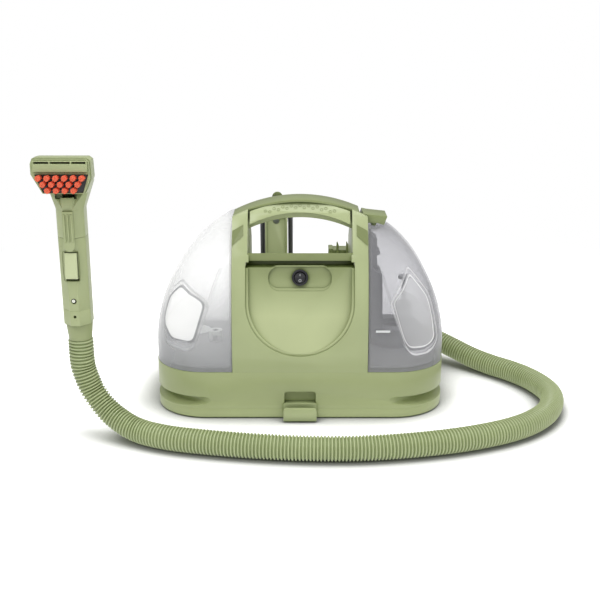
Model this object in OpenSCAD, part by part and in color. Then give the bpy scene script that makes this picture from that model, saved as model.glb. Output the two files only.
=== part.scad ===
/* [Body] */
// Width of the base, which is also the width of the dome
base_w = 366; // [350:1:390]
// Depth of the base from front to back
base_d = 210; // [204:1:224]
// Corner radius of the base seen from above
corner_r = 66; // [60:1:72]
// Height of the seam between the base and what stands on it
seam_z = 61; // [58:1:64]
// Gap under the base, which the feet fill
foot_h = 2; // [1.5:0.5:3]
// Height of the base pan, up to the floor of the hose groove
pan_h = 13; // [11:1:14]
// Wall thickness of the moulded shells
wall = 2.5; // [2:0.1:3]
// Height at which the dome starts to curve in, seen from the front
spring_z = 82; // [76:1:88]
// Height at which the front and back start to lean in, seen from the side
side_z = 80; // [76:1:86]
// Radius of the front and back seen from the side
side_r = 300; // [285:1:320]

/* [Centre housing] */
// Width of the centre housing between the tanks
house_w = 166; // [160:1:172]
// Width of the opening between the two pillars
window_w = 128; // [122:1:134]
// Height of the roof behind the front parapet
roof_z = 160; // [154:1:162]
// Height of the lip over the face panel
lip_z = 207; // [204:1:210]
// Height of the underside of the lip
brow_z = 195; // [192:1:198]
// Where the front shell ends and the rear shell starts
split_y = 34; // [30:1:38]
// Radius of the U-shaped face recess
face_r = 66.5; // [64:0.5:68]
// Height of the centre of the face recess
face_z = 148; // [146:1:152]
// Width of the sloped border round the face panel
face_rim = 3.5; // [2.5:0.5:5]

/* [Handle] */
// Thickness of the handle at its middle, front face only
grip_h = 16; // [14:1:19]
// How far the palm swell hangs below the front face
palm_h = 7; // [5:1:9]
// Where the back of the handle is
handle_back = -6; // [-9:1:0]
// Thickness of the cover strip along the top
band_t = 3; // [2.5:0.5:4]

/* [Hose groove and clip] */
// Height of the groove round both ends
groove_h = 16; // [14:1:17]
// Radius of the groove's inner wall
groove_r = 116.5; // [114:0.5:119]
// Distance of the groove's centre from the middle
groove_x = 59.5; // [58:0.5:62]
// Width of the front hose clip
clip_w = 41; // [36:1:46]
// How far the clip stands out from the base
clip_out = 14; // [12:1:18]

/* [Tanks] */
// Gap between a tank and the centre housing
tank_gap = 0.8; // [0.5:0.1:1.2]
// Gap between a tank and the deck
deck_gap = 0.3; // [0.3:0.1:0.6]
// Wall thickness of the clear tanks
tank_t = 2.4; // [2:0.1:3]
// Thickness of a tank's floor
tank_floor = 5; // [4.5:0.5:6]
// How far the tanks' flat top lies under the edge of the dome
tank_drop = 6.5; // [4:0.1:8]
// Diameter of the filling hole of the clean tank
fill_d = 40; // [34:1:44]
// Diameter of the intake in the recovery tank's floor
intake_d = 34; // [30:1:36]

/* [Switch] */
// Diameter of the switch bezel
switch_d = 20; // [18:0.5:22]
// Half length of the pill-shaped well round the switch
pill_x = 26; // [22:1:30]
// Radius of the pill-shaped well
pill_r = 13; // [11.5:0.5:14]

/* [Cord wrap] */
// Sideways place of the cord wrap
wrap_x = -32; // [-34:1:-30]
// Width of the cord wrap post
post_w = 30; // [28:1:32]
// Diameter of the power cord
cord_d = 6.2; // [5.8:0.1:6.4]
// Turns of power cord on the wrap
cord_turns = 9; // [6:1:10]
// Distance from one turn to the next
cord_pitch = 6.8; // [6.7:0.1:7.2]
// Height of the lower hook
hook_lo = 98; // [96:1:104]
// Height of the upper hook
hook_hi = 217; // [212:1:220]

/* [Hose and tool] */
// Outer diameter of the hose over its ribs
hose_d = 29; // [27:1:31]
// Bore of the hose
hose_bore = 22; // [20:1:23]
// Number of ribs on the hose
hose_ribs = 132; // [90:1:150]
// Width of the spray wand
wand_w = 31; // [30:1:33]
// Depth of the spray wand
wand_d = 40; // [38:1:42]
// Height of the wand above its cuff
wand_h = 102; // [98:1:108]
// Radius of a brush tuft
tuft_r = 3.5; // [3:0.1:3.7]
// Length of the trigger
trigger_h = 30; // [28:1:33]

/* [Hidden] */

green = "#a9b486";
pale = "#c3cd9c";
olive = "#8f9a68";
base_green = "#98a270";
black = "#26262a";
steel = "#b9bcc0";
rubber = "#3a3a3c";
smoke = [0.62, 0.62, 0.64, 0.6];
clear = [0.92, 0.93, 0.94, 0.5];
red = "#f4553c";

$fn = 72;
eps = 0.01;
dome_r = base_w / 2;
house_x = house_w / 2;
window_x = window_w / 2;
front_y = base_d / 2;
tank_x = house_x + tank_gap;
tank_z = seam_z + deck_gap;
deck_z = seam_z - wall;
groove_top = pan_h + groove_h;
band_r = dome_r - band_t;

// Half width of the dome at height z, drawn in by g
function half_w(z, g = 0) = z <= spring_z ? dome_r - g
    : sqrt(pow(dome_r - g, 2) - pow(z - spring_z, 2));
// Half depth of the dome at height z, drawn in by g
function half_d(z, g = 0) = z <= side_z ? front_y - g
    : front_y - side_r + sqrt(pow(side_r - g, 2) - pow(z - side_z, 2));
// Height of a circle of radius r about the dome's centre, at x
function dome_z(x, r = dome_r) = spring_z + sqrt(r * r - x * x);

// Rounded rectangle with true arcs
module plan(w, d, r) {
    square([w - 2 * r, d], center = true);
    square([w, d - 2 * r], center = true);
    for (sx = [-1, 1], sy = [-1, 1])
        translate([sx * (w / 2 - r), sy * (d / 2 - r)]) circle(r);
}
module base_plan(g = 0) plan(base_w - 2 * g, base_d - 2 * g, corner_r - g);
// Turns an outline drawn as (x, z) to stand upright, from y0 to y1
module upright(y0, y1) translate([0, y1, 0]) rotate([90, 0, 0]) linear_extrude(y1 - y0) children();
// Turns an outline drawn as (y, z) to run across, from x0 to x1
module across(x0, x1) translate([x0, 0, 0]) rotate([90, 0, 90]) linear_extrude(x1 - x0) children();
// Ring, or a tube of height h
module ring(r1, r0, h) difference() {
    cylinder(r = r1, h = h);
    translate([0, 0, -eps]) cylinder(r = r0, h = h + 2 * eps);
}
// Prism with a rounded end of radius r on both sides, along x
module pill(half, r, h) {
    translate([-half, -r, 0]) cube([2 * half, 2 * r, h]);
    for (s = [-1, 1]) translate([s * half, 0, 0]) cylinder(r = r, h = h);
}

dome_top = spring_z + dome_r;
top_d = half_d(dome_top);
tank_top = dome_z(tank_x) - tank_drop;
fit = 0.1; // clearance between pieces that are pushed or snapped together

// ---- Base ----
screw_at = [[-150, -60], [150, -60], [-112, 92], [112, 92], [-72, -76], [72, -76]];
foot_at = [[-135, -72], [135, -72], [-135, 72], [135, 72], [0, 0]];
foot_r = 9;
boss_r = 5;
screw_r = 1.75;
clip_x = clip_w / 2;
clip_floor = 19;
clip_roof = 36;
pan_rim = 20;
pan_floor = foot_h + wall;
clip_deep = 9;
elbow_x = 78;
elbow_z = 42;
elbow_r = 15;
sep_r = 32;
tower_x = tank_x + tank_t + 3;
intake_at = [tower_x + sep_r + 2.8, 0];
rail_x = tank_x + 16.2;
rail_len = 58;
valve_at = [-112, 0];
fill_at = [-142, 44];
collar_r = 13;
fill_well = fill_d / 2 + 9;

// The channel that the stored hose lies in, round both ends
module groove(g = 0) for (s = [0, 1]) mirror([s, 0, 0]) translate([groove_x, 0, pan_h])
    rotate([0, 0, -90]) rotate_extrude(angle = 180) {
        translate([groove_r + 5, groove_h - 5]) circle(5 + g);
        polygon([[groove_r + 5, groove_h + g], [groove_r + 90, groove_h + g], [groove_r + 90, -g],
            [groove_r + 22, -g], [groove_r + 5 - g / 2, groove_h - 10 - g]]);
    }

module clip_recess(g = 0) translate([0, -front_y, 0]) {
    translate([-clip_x + 1 - g, -1, clip_floor - g]) cube([clip_w - 2 + 2 * g, clip_deep + 1 + g, 13 + g]);
    translate([-clip_x + 5 - g, -1, clip_floor])
        cube([clip_w - 10 + 2 * g, clip_deep + 1 + g, clip_roof - clip_floor + g]);
    for (s = [-1, 1]) translate([s * (clip_x - 5), 0, clip_roof - 4]) rotate([-90, 0, 0])
        translate([0, 0, -1]) cylinder(r = 4 + g, h = clip_deep + 1 + g);
}

module base_pan() color(base_green) difference() {
    union() {
        difference() {
            translate([0, 0, foot_h]) linear_extrude(pan_h - foot_h) base_plan();
            translate([0, 0, pan_floor]) linear_extrude(pan_h) base_plan(pan_rim);
        }
        for (p = screw_at) translate([p[0], p[1], foot_h]) cylinder(r = boss_r, h = pan_h - foot_h);
    }
    for (p = screw_at) translate([p[0], p[1], 0]) cylinder(r = screw_r + 0.3, h = 30);
    for (p = screw_at) translate([p[0], p[1], 0]) cylinder(r = boss_r - 1, h = foot_h + 3);
    for (p = foot_at) translate([p[0], p[1], 0]) cylinder(r = foot_r, h = foot_h + 1);
}

module base_shell() color(base_green) difference() {
    union() {
        difference() {
            translate([0, 0, pan_h]) linear_extrude(seam_z - pan_h) base_plan();
            difference() {
                translate([0, 0, pan_h - 1]) linear_extrude(deck_z - pan_h + 1) base_plan(wall);
                groove(wall);
                clip_recess(wall);
            }
            groove();
        }
        for (p = screw_at) translate([p[0], p[1], pan_h]) cylinder(r = boss_r, h = deck_z - pan_h);
        for (y = rail_y) translate([rail_x, y - 1.5, deck_z]) cube([rail_len, 3, wall + 2]);
    }
    clip_recess();
    for (p = screw_at) translate([p[0], p[1], 0]) cylinder(r = screw_r, h = 34);
    // opening under the centre housing, for the motor and its air
    translate([0, -8, deck_z - 1]) linear_extrude(wall + 2) plan(house_w - 40, 100, 12);
    // holes in the deck under the tanks
    translate([valve_at[0], valve_at[1], deck_z - 1]) cylinder(r = collar_r + 0.6, h = wall + 2);
    translate([fill_at[0], fill_at[1], deck_z - 1]) cylinder(r = fill_well, h = wall + 2);
    translate([intake_at[0], intake_at[1], deck_z - 1]) cylinder(r = intake_d / 2, h = wall + 2);
    translate([intake_at[0], intake_at[1], seam_z - 1]) cylinder(r = intake_d / 2 + 4, h = 2);
    // hose outlet in the back wall
    translate([elbow_x, front_y - 12, elbow_z]) rotate([-90, 0, 0]) cylinder(r = elbow_r - 3, h = 20);
}

module rubber_feet() color(rubber) for (p = foot_at) translate([p[0], p[1], 0])
    cylinder(r = foot_r - 0.2, h = foot_h + 1);

module base_screws() color(steel) for (p = screw_at) translate([p[0], p[1], foot_h + 3]) {
    cylinder(r = screw_r - 0.05, h = 27);
    translate([0, 0, -2]) cylinder(r = 3.4, h = 2);
}

// Spring hook at the front that holds the stored hose
module hose_clip() color(green) {
    translate([-clip_x, -front_y - clip_out, foot_h]) cube([clip_w, 4, 13]);
    translate([-clip_x + 4, -front_y - clip_out, foot_h + 13]) cube([clip_w - 8, 4, 4]);
    for (s = [-1, 1]) translate([s * (clip_x - 4), -front_y - clip_out + 4, foot_h + 13])
        rotate([90, 0, 0]) cylinder(r = 4, h = 4);
    translate([-clip_x, -front_y - clip_out, foot_h]) cube([clip_w, clip_out, 3]);
    translate([-clip_x, -front_y - 3, foot_h]) cube([clip_w, 3, clip_floor + 2 - foot_h]);
    translate([-clip_x + 2, -front_y - 3, clip_floor]) cube([clip_w - 4, clip_deep + 3, 2]);
}

// ---- Centre housing ----
// Side outline of the housing, drawn in by g, from z0 to z1
module side_outline(z0, z1, g = 0) {
    translate([-front_y + g, z0]) square([base_d - 2 * g, min(side_z, z1) - z0]);
    if (z1 > side_z) intersection() {
        translate([side_r - front_y, side_z]) circle(side_r - g, $fn = 180);
        translate([front_y - side_r, side_z]) circle(side_r - g, $fn = 180);
        translate([-front_y, side_z]) square([base_d, z1 - side_z]);
    }
}
// Solid dome slice between the tanks
module slice(half, z0, z1, g = 0, r = dome_r) intersection() {
    across(-half, half) side_outline(z0, z1, g);
    upright(-front_y - 1, front_y + 1) translate([0, spring_z]) circle(r, $fn = 180);
}
// U-shaped outline of the face recess, seen from the front
module u_outline(r, top) intersection() {
    union() {
        translate([0, face_z]) circle(r);
        translate([-r, face_z]) square([2 * r, r + 10]);
    }
    translate([-r - 1, face_z - r - 1]) square([2 * r + 2, top - face_z + r + 1]);
}

lean_y0 = -front_y + 1.5;
lean_z0 = face_z - face_r + face_rim;
lean_y1 = -front_y + 25;
lean_z1 = brow_z - 7;
lean = atan2(lean_y1 - lean_y0, lean_z1 - lean_z0);
panel_t = 4.5;
parapet_y = -48;
parapet_drop = 10;
// Undercut of the lip, drawn as (y, z)
lip_in = 8;
module under_lip() polygon([[-front_y - 10, lip_z - 1.2], [0.5 - half_d(lip_z - 1.2), lip_z - 1.2],
    [lip_in - half_d(brow_z), brow_z], [lip_in - half_d(brow_z), brow_z - 1], [-front_y - 10, brow_z - 1]]);
// Back of the pillars, which slopes away behind the handle, drawn as (y, z)
module behind_pillars(g = 0) polygon([[handle_back - g, dome_top + 10], [handle_back - g, lip_z + 33 - g],
    [split_y + 1, lip_z - 6 - 1.4 * g], [200, lip_z - 6 - 1.4 * g], [200, 400], [handle_back - g, 400]]);
// Region behind the leaning face plane, drawn as (y, z)
module behind_face(back = 0) polygon([[lean_y0 + back, lean_z0 - 40], [lean_y0 + back, lean_z0],
    [lean_y1 + back, lean_z1], [lean_y1 + back, lean_z1 + 60], [200, 400], [200, 0]]);

// Everything above the roof and the parapet, drawn as (y, z)
module above_roof(z = roof_z) polygon([[-200, lip_z], [-front_y + 12, lip_z],
    [parapet_y, lip_z - parapet_drop], [parapet_y + 4, z], [200, z], [200, 400], [-200, 400]]);

// Arch of the handle as (x, z): between the dome and a lower circle
grip_r = 150;
module arch(top_r, drop, root = 0) difference() {
    intersection() {
        translate([0, spring_z]) circle(top_r, $fn = 180);
        translate([-window_x - root, 200]) square([window_w + 2 * root, 100]);
    }
    translate([0, spring_z + dome_r - drop - grip_r]) circle(grip_r, $fn = 180);
}

pillar_w = house_x - window_x;
latch_x = house_x - 9 / 19 * pillar_w; // a little inside the middle of the pillar
latch_room = 7 / 19 * pillar_w; // from the pin to the inner end of its slot
latch_z = dome_z(latch_x) - 14.37;
shelf_z = latch_z - 8;
grip_y = 0.79 - top_d;
band_y0 = -top_d - 5.21;
latch_y0 = band_y0 + 2;
latch_y1 = handle_back - 1;
slot_gap = 1;
pin_grip = 4; // how far the pin goes into the pillar at each end
pin_r = 1.5;
band_end = latch_x - 0.3;
handle_root = 1; // how far the handle's core runs into the pillars

module front_housing() color(green) difference() {
    union() {
        difference() {
            slice(house_x, seam_z, spring_z + dome_r);
            // parting line with the rear shell
            translate([-200, split_y, 0]) cube([400, 200, 400]);
            across(-window_x, window_x) above_roof();
            across(-house_x - 1, house_x + 1) behind_pillars();
            across(-window_x + 1.5, window_x - 1.5) under_lip();
        }
        // core of the handle
        intersection() {
            slice(window_x + handle_root, seam_z, spring_z + dome_r);
            upright(grip_y, handle_back) arch(dome_r, grip_h, handle_root);
        }
        // palm swell under it
        upright(grip_y, handle_back - 4) arch(dome_r - 2, grip_h + palm_h, handle_root);
    }
    // space inside, with the switch space in the parapet
    difference() {
        intersection() {
            slice(house_x - wall, seam_z - 1, 222, wall);
            translate([-200, -200, 0]) cube([400, 200 + split_y + 1, 400]);
        }
        across(-window_x - wall, window_x + wall) translate([0, -wall]) above_roof();
        across(-house_x - 1, house_x + 1) behind_pillars(wall);
        across(-window_x - wall, window_x + wall) translate([wall, 0]) under_lip();
    }
    // hollow of the handle
    upright(grip_y + wall, handle_back - 4 - wall) difference() {
        arch(band_r - wall, grip_h + palm_h - wall);
        for (s = [-1, 1]) translate([s * window_x - 7, 200]) square([14, 90]);
    }
    // air port in the wall beside the recovery tank
    translate([house_x - wall - 1, -port_w / 2, port_z0]) cube([wall + 2, port_w, port_z1 - port_z0]);
    translate([house_x - 0.8, -port_w / 2 - 3, port_z0 - 3]) cube([2, port_w + 6, port_z1 - port_z0 + 6]);
    // opening for the face panel
    upright(-front_y - 1, -40) u_outline(face_r, brow_z);
    // seat for the cover strip
    upright(band_y0, handle_back + 1) difference() {
        translate([-200, 200]) square([400, 100]);
        translate([0, spring_z]) circle(band_r, $fn = 180);
    }
    // slot for the latch in the right pillar, and its pin holes
    translate([latch_x - latch_room, latch_y0 - slot_gap, latch_z - 8])
        cube([60, latch_y1 - latch_y0 + 2 * slot_gap, 14]);
    translate([house_x - 5, latch_y0 - slot_gap, shelf_z])
        cube([20, latch_y1 - latch_y0 + 2 * slot_gap, 14]);
    translate([band_end, latch_y0 - slot_gap, latch_z - 8])
        cube([60, latch_y1 - latch_y0 + 2 * slot_gap, 40]);
    upright(latch_y0 - slot_gap - pin_grip, latch_y1 + slot_gap + pin_grip)
        translate([latch_x, latch_z]) circle(pin_r, $fn = 24);
}
port_w = 24;
port_z0 = 132;
port_z1 = 150;

module rear_housing() color(green) {
    difference() {
        slice(house_x, seam_z, roof_z);
        translate([-200, -200, 0]) cube([400, 200 + split_y, 400]);
        difference() {
            intersection() {
                slice(house_x - wall, seam_z - 1, roof_z - wall, wall);
                translate([-200, split_y - 1, 0]) cube([400, 200, 400]);
            }
            alcove(wall);
        }
        alcove();
        for (i = [0 : 5]) translate([28, 60, 78 + i * 10]) cube([46, 60, 4]);
    }
    lower_hook();
}
alcove_w = 84;
alcove_y = 60;
alcove_z = 72;
module alcove(g = 0) translate([wrap_x - alcove_w / 2 - g, alcove_y - g, alcove_z - g])
    cube([alcove_w + 2 * g, 80, 120]);

// Leaning face with its sloped border and the well for the switch
module face_panel() color(pale) difference() {
    union() {
        intersection() {
            upright(-front_y - 1, -20) u_outline(face_r - fit, brow_z - fit);
            across(-face_r, face_r) difference() {
                behind_face();
                behind_face(panel_t);
                translate([-200, lean_z1]) square([400, 100]);
            }
        }
        // shelf at the back of the channel under the lip
        intersection() {
            upright(-front_y - 1, -20) u_outline(face_r - fit, brow_z - fit);
            across(-face_r, face_r) {
                translate([lean_y1, lean_z1 - 2]) square([17, 2]);
                translate([lean_y1 + 15, lean_z1 - 2]) square([2, brow_z - lean_z1 + 1.6]);
            }
        }
        intersection() {
            upright(-front_y - 1, -20) difference() {
                u_outline(face_r - fit, lean_z1);
                u_outline(face_r - face_rim, brow_z + 1);
            }
            across(-face_r, face_r) difference() {
                side_outline(seam_z, lean_z1, 1.5);
                behind_face(panel_t - 1);
            }
        }
        // back of the well
        on_face(switch_z) translate([0, 0, -pill_deep - 2]) pill(pill_x, pill_r + 2, pill_deep);
    }
    on_face(switch_z) {
        translate([0, 0, -pill_deep]) pill(pill_x, pill_r, 10);
        translate([0, 0, -40]) cylinder(r = switch_d / 2 - 1, h = 50);
        translate([0, -3, -pill_deep / 3]) pill(pill_x - 1, pill_r + 0.6, 10);
    }
}
switch_z = 176;
pill_deep = 3.6;
// Places children on the leaning face at height z: local Z is outward, local Y is up the face
module on_face(z) translate([0, lean_y0 + (z - lean_z0) * tan(lean), z])
    rotate([90 - lean, 0, 0]) children();

module switch_bezel() color(black) on_face(switch_z) difference() {
    union() {
        translate([0, 0, -pill_deep]) cylinder(r = switch_d / 2, h = pill_deep + 0.2);
        translate([0, 0, -16]) cylinder(r = switch_d / 2 - 1.1, h = 16.1 - pill_deep);
        for (s = [-1, 1]) translate([s * 4 - 1, -3, -22]) cube([2, 6, 7]);
    }
    difference() {
        translate([0, 0, -9]) cylinder(r = switch_d / 2 - 2.6, h = 20);
        // post that the rocker's round underside turns on
        translate([0, 0, -10]) cylinder(r = 3, h = rocker_lift - barrel_r - fit + 10);
    }
}
rocker_r = switch_d / 2 - 3.4;
rocker_tilt = 8;
rocker_lift = -1;
barrel_r = 4.2;
// Rocks about local X on its barrel-shaped underside
module switch_rocker() color("#3c3c40") on_face(switch_z) translate([0, 0, rocker_lift])
    rotate([rocker_tilt, 0, 0]) {
        intersection() {
            translate([0, 0, -3]) cylinder(r = rocker_r, h = 8);
            rotate([90, 0, 90]) translate([0, 0, -10]) linear_extrude(20)
                polygon([[-9, -2.4], [9, -2.4], [9, 3.4], [0, 1.2], [-9, 3.4]]);
        }
        difference() {
            rotate([0, 90, 0]) translate([0, 0, -5]) cylinder(r = barrel_r, h = 10);
            translate([-10, -10, -1]) cube([20, 20, 20]);
        }
    }

// ---- Handle ----
grip_gap = 2.5;
module handle_grip() color(pale) difference() {
    intersection() {
        slice(window_x - grip_gap, seam_z, spring_z + dome_r, 0.4);
        upright(-front_y, grip_y) arch(band_r - fit / 2, grip_h - 1);
    }
    // hollow, open towards the core
    intersection() {
        slice(window_x - grip_gap - wall, seam_z, spring_z + dome_r, 0.4 + wall);
        upright(-front_y, grip_y + 1) arch(band_r - wall, grip_h - 1 - 2 * wall);
    }
}
module handle_top() color(olive) intersection() {
    upright(band_y0, handle_back) difference() {
        translate([0, spring_z]) circle(dome_r, $fn = 180);
        translate([0, spring_z]) circle(band_r, $fn = 180);
    }
    translate([-house_x, -100, 220]) cube([house_x + band_end, 200, 80]);
}

// Sprung tab over the recovery tank
tip_x = house_x + 25;
tooth_in = 5;
tooth_gap = 4; // over the floor of the notch
module tank_latch() color(olive) difference() {
    union() {
        upright(latch_y0, latch_y1) {
            translate([latch_x, latch_z]) circle(5, $fn = 36);
            polygon([[latch_x + 2, latch_z - 4.4], [house_x - 1, latch_z + 0.5],
                [house_x + 13, latch_z + 0.5],
                [tip_x - 4, latch_z - 2.2], [tip_x, latch_z + 8.6], [house_x + 1, latch_z + 11.2],
                [latch_x + 4, dome_z(latch_x + 4)], [latch_x + 1, latch_z + 4.8]]);
        }
        // tooth that stands in the notch of the tank
        upright(latch_y0 + tooth_in, latch_y1 - tooth_in) polygon([[house_x + 5, latch_z + 2],
            [house_x + 6, shelf_z + tooth_gap], [house_x + 11, shelf_z + tooth_gap],
            [house_x + 13, latch_z + 2]]);
    }
    upright(latch_y0 - 1, latch_y1 + 1) translate([latch_x, latch_z]) circle(pin_r + 0.15, $fn = 24);
}
module latch_pin() color(steel) upright(latch_y0 - slot_gap - pin_grip, latch_y1 + slot_gap + pin_grip)
    translate([latch_x, latch_z]) circle(pin_r, $fn = 24);
module latch_spring() color(steel) translate([latch_x - 3.5, (latch_y0 + latch_y1) / 2, latch_z - 8])
    ring(2.4, 1.6, 3 - fit);

// ---- Tanks ----
tank_n = 10;
tank_steps = 13;
// Heights of the sections from z0 to z1, closer together where the dome curves most
function section(k, z0, z1) = z0 + (z1 - z0) * sin(90 * pow(k / (tank_steps - 1), 0.85));
// Half section of the dome outside x, drawn in by g
function tank_ring(z, g, x) = let (w = half_w(z, g), d = half_d(z, g), r = min(corner_r - g, d - 0.6),
        xc = w - r, yc = d - r, far = xc >= x ? 90 : acos((x - xc) / r), y = yc + r * sin(far),
        arc = [for (i = [0 : tank_n - 1]) let (a = far * (1 - (i + 0.6) / (tank_n + 0.1)))
            [xc + r * cos(a), yc + r * sin(a)]])
    concat([[x, -y, z]], [for (p = arc) [p[0], -p[1], z]],
        [for (i = [tank_n - 1 : -1 : 0]) [arc[i][0], arc[i][1], z]], [[x, y, z]]);
// Closed solid through rings of n points each, as triangles
module loft(rings) {
    n = len(rings[0]);
    m = len(rings);
    polyhedron(points = [for (r = rings) each r], faces = concat(
        [for (i = [1 : n - 2]) [0, i, i + 1]],
        [for (i = [1 : n - 2]) [(m - 1) * n, (m - 1) * n + i + 1, (m - 1) * n + i]],
        [for (k = [0 : m - 2], i = [0 : n - 1]) let (a = k * n + i, b = k * n + (i + 1) % n)
            each [[a, a + n, b], [b, a + n, b + n]]]));
}
module tank_solid(g, x, z0, z1) loft([for (k = [0 : tank_steps - 1]) tank_ring(section(k, z0, z1), g, x)]);

pocket_x = 115;
pocket_y = front_y - 14;
pocket_turn = 16;
pocket_r = [[24, 184], [-5, 147], [12, 93], [20, 83], [46, 83], [58, 95], [50, 150]];
pocket_l = [[36, 168], [2, 151], [-4, 142], [9, 106], [13, 93], [19, 89], [50, 93], [62, 120], [56, 150]];
// Finger pocket in the front and the back of a tank, grown by g
module pocket(points, g = 0) for (s = [0, 1]) mirror([0, s, 0])
    translate([pocket_x, -pocket_y + g, 0]) rotate([0, 0, pocket_turn]) upright(-60, 0)
        offset(delta = g) polygon(points);

module tank_shell(points) difference() {
    tank_solid(0.6, tank_x, tank_z, tank_top);
    difference() {
        tank_solid(0.6 + tank_t, tank_x + tank_t, tank_z + tank_floor, tank_top - tank_t - 1);
        pocket(points, tank_t);
    }
    pocket(points);
}

module clean_tank() color(clear) mirror([1, 0, 0]) difference() {
    tank_shell(pocket_l);
    translate([-fill_at[0], fill_at[1], seam_z - 5]) cylinder(r = fill_d / 2, h = 20);
    translate([-valve_at[0], valve_at[1], seam_z - 5]) cylinder(r = collar_r - 4, h = 20);
}
module clean_cap() color("#d8dadb") translate([fill_at[0], fill_at[1], 0]) {
    translate([0, 0, tank_z - 4]) cylinder(r = fill_d / 2 + 5, h = 4 - 1.8);
    difference() {
        translate([0, 0, tank_z - 4]) cylinder(r = fill_d / 2 - 0.5, h = 10);
        translate([0, 0, tank_z - 5]) cylinder(r = fill_d / 2 - 3, h = 8);
    }
    translate([-fill_d / 2 + 2, -1.5, tank_z - 4]) cube([fill_d - 4, 3, 6]);
}
module clean_cap_seal() color(rubber) translate([fill_at[0], fill_at[1], tank_z - 1.5])
    ring(fill_d / 2 + 4, fill_d / 2 + 0.3, 1.5);
// Collar in the clean tank's floor; its bore is the valve's guide
poppet_lift = 2;
poppet_z = tank_z + 4;
module valve_collar() color("#d8dadb") translate([valve_at[0], valve_at[1], 0]) difference() {
    union() {
        translate([0, 0, tank_z - 9]) cylinder(r = collar_r - 0.4, h = 9);
        translate([0, 0, tank_z]) cylinder(r = collar_r - 4, h = 20);
    }
    translate([0, 0, tank_z - 10]) cylinder(r = collar_r - 3, h = 8);
    translate([0, 0, tank_z - 10]) cylinder(r = 4, h = 30);
    translate([0, 0, poppet_z]) cylinder(r = 6.5, h = 14.5);
    translate([0, 0, poppet_z + 3]) rotate([90, 0, 0]) translate([-3, 0, -20]) cube([6, 8, 40]);
}
// Shut on its seat, just over the pin that lifts it
module valve_poppet() color("#e4e4e4") translate([valve_at[0], valve_at[1], 0]) {
    translate([0, 0, poppet_z]) cylinder(r = 5.8, h = 2);
    translate([0, 0, pin_z + 0.2]) cylinder(r = 2.2, h = poppet_z - pin_z + 1);
}
module valve_spring() color(steel) translate([valve_at[0], valve_at[1], poppet_z + poppet_lift + 2.3])
    ring(5.6, 4.4, 14.5 - poppet_lift - 2.3);
// Seat in the base that the clean tank's valve plugs into
seat_z = 25;
pin_z = tank_z - 5;
tube_r = 3.2;
tube_bore = 2;
bend_r = 8;
module valve_seat() color(green) translate([valve_at[0], valve_at[1], 0]) difference() {
    union() {
        translate([0, 0, seat_z]) cylinder(r = 7, h = pin_z - seat_z);
        translate([0, 0, seat_z]) cylinder(r = 20, h = 3);
        translate([0, 0, seat_z + 3]) ring(20, 17.6, deck_z - seat_z - 3);
        translate([0, -6, pipe_z]) rotate([90, 0, 0]) cylinder(r = tube_bore - fit, h = 22);
    }
    translate([0, 0, seat_z + 4]) ring(6, 2.6, 60);
    translate([0, -5, pipe_z]) rotate([90, 0, 0]) cylinder(r = 1, h = 30);
}
pipe_z = seat_z + 6;

// ---- Recovery tank ----
rail_y = [-58, 58];
module recovery_tank() color(smoke) difference() {
    union() {
        tank_shell(pocket_r);
        // floor of the seat that the latch drops into
        intersection() {
            tank_solid(0.7, tank_x + 0.1, tank_z, tank_top);
            translate([tank_x, latch_y0 - 2 - tank_t, shelf_z - tank_t])
                cube([60, latch_y1 - latch_y0 + 4 + 2 * tank_t, 40]);
        }
    }
    translate([intake_at[0], intake_at[1], seam_z - 5]) cylinder(r = intake_d / 2, h = 20);
    for (y = rail_y) translate([tank_x - 1, y - 2, seam_z - 1])
        cube([rail_x + rail_len + 4 - tank_x, 4, 3.6]);
    translate([tank_x - 1, latch_y0 - 2, shelf_z]) cube([60, latch_y1 - latch_y0 + 4, 40]);
    translate([tank_x - 1, -port_w / 2, port_z0]) cube([tank_t + 2, port_w, port_z1 - port_z0]);
}
// Round pedestal over the intake, inside the tank
sep_top = 92;
module separator_base() color("#8d8e90") translate([intake_at[0], intake_at[1], 0]) {
    difference() {
        union() {
            translate([0, 0, tank_z + tank_floor])
                cylinder(r = sep_r, h = sep_top - 4 - tank_z - tank_floor);
            translate([0, 0, sep_top - 4]) cylinder(r = sep_r + 3, h = 4);
        }
        translate([0, 0, tank_z]) cylinder(r = intake_d / 2, h = 40);
        translate([0, 0, tank_z + tank_floor + 8])
            cylinder(r = sep_r - 3, h = sep_top - 15 - tank_z - tank_floor);
    }
}
tower_y = -4;
tower_w = 26;
tower_top = tank_top - 22;
tower_mid = tower_top - 40;
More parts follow.
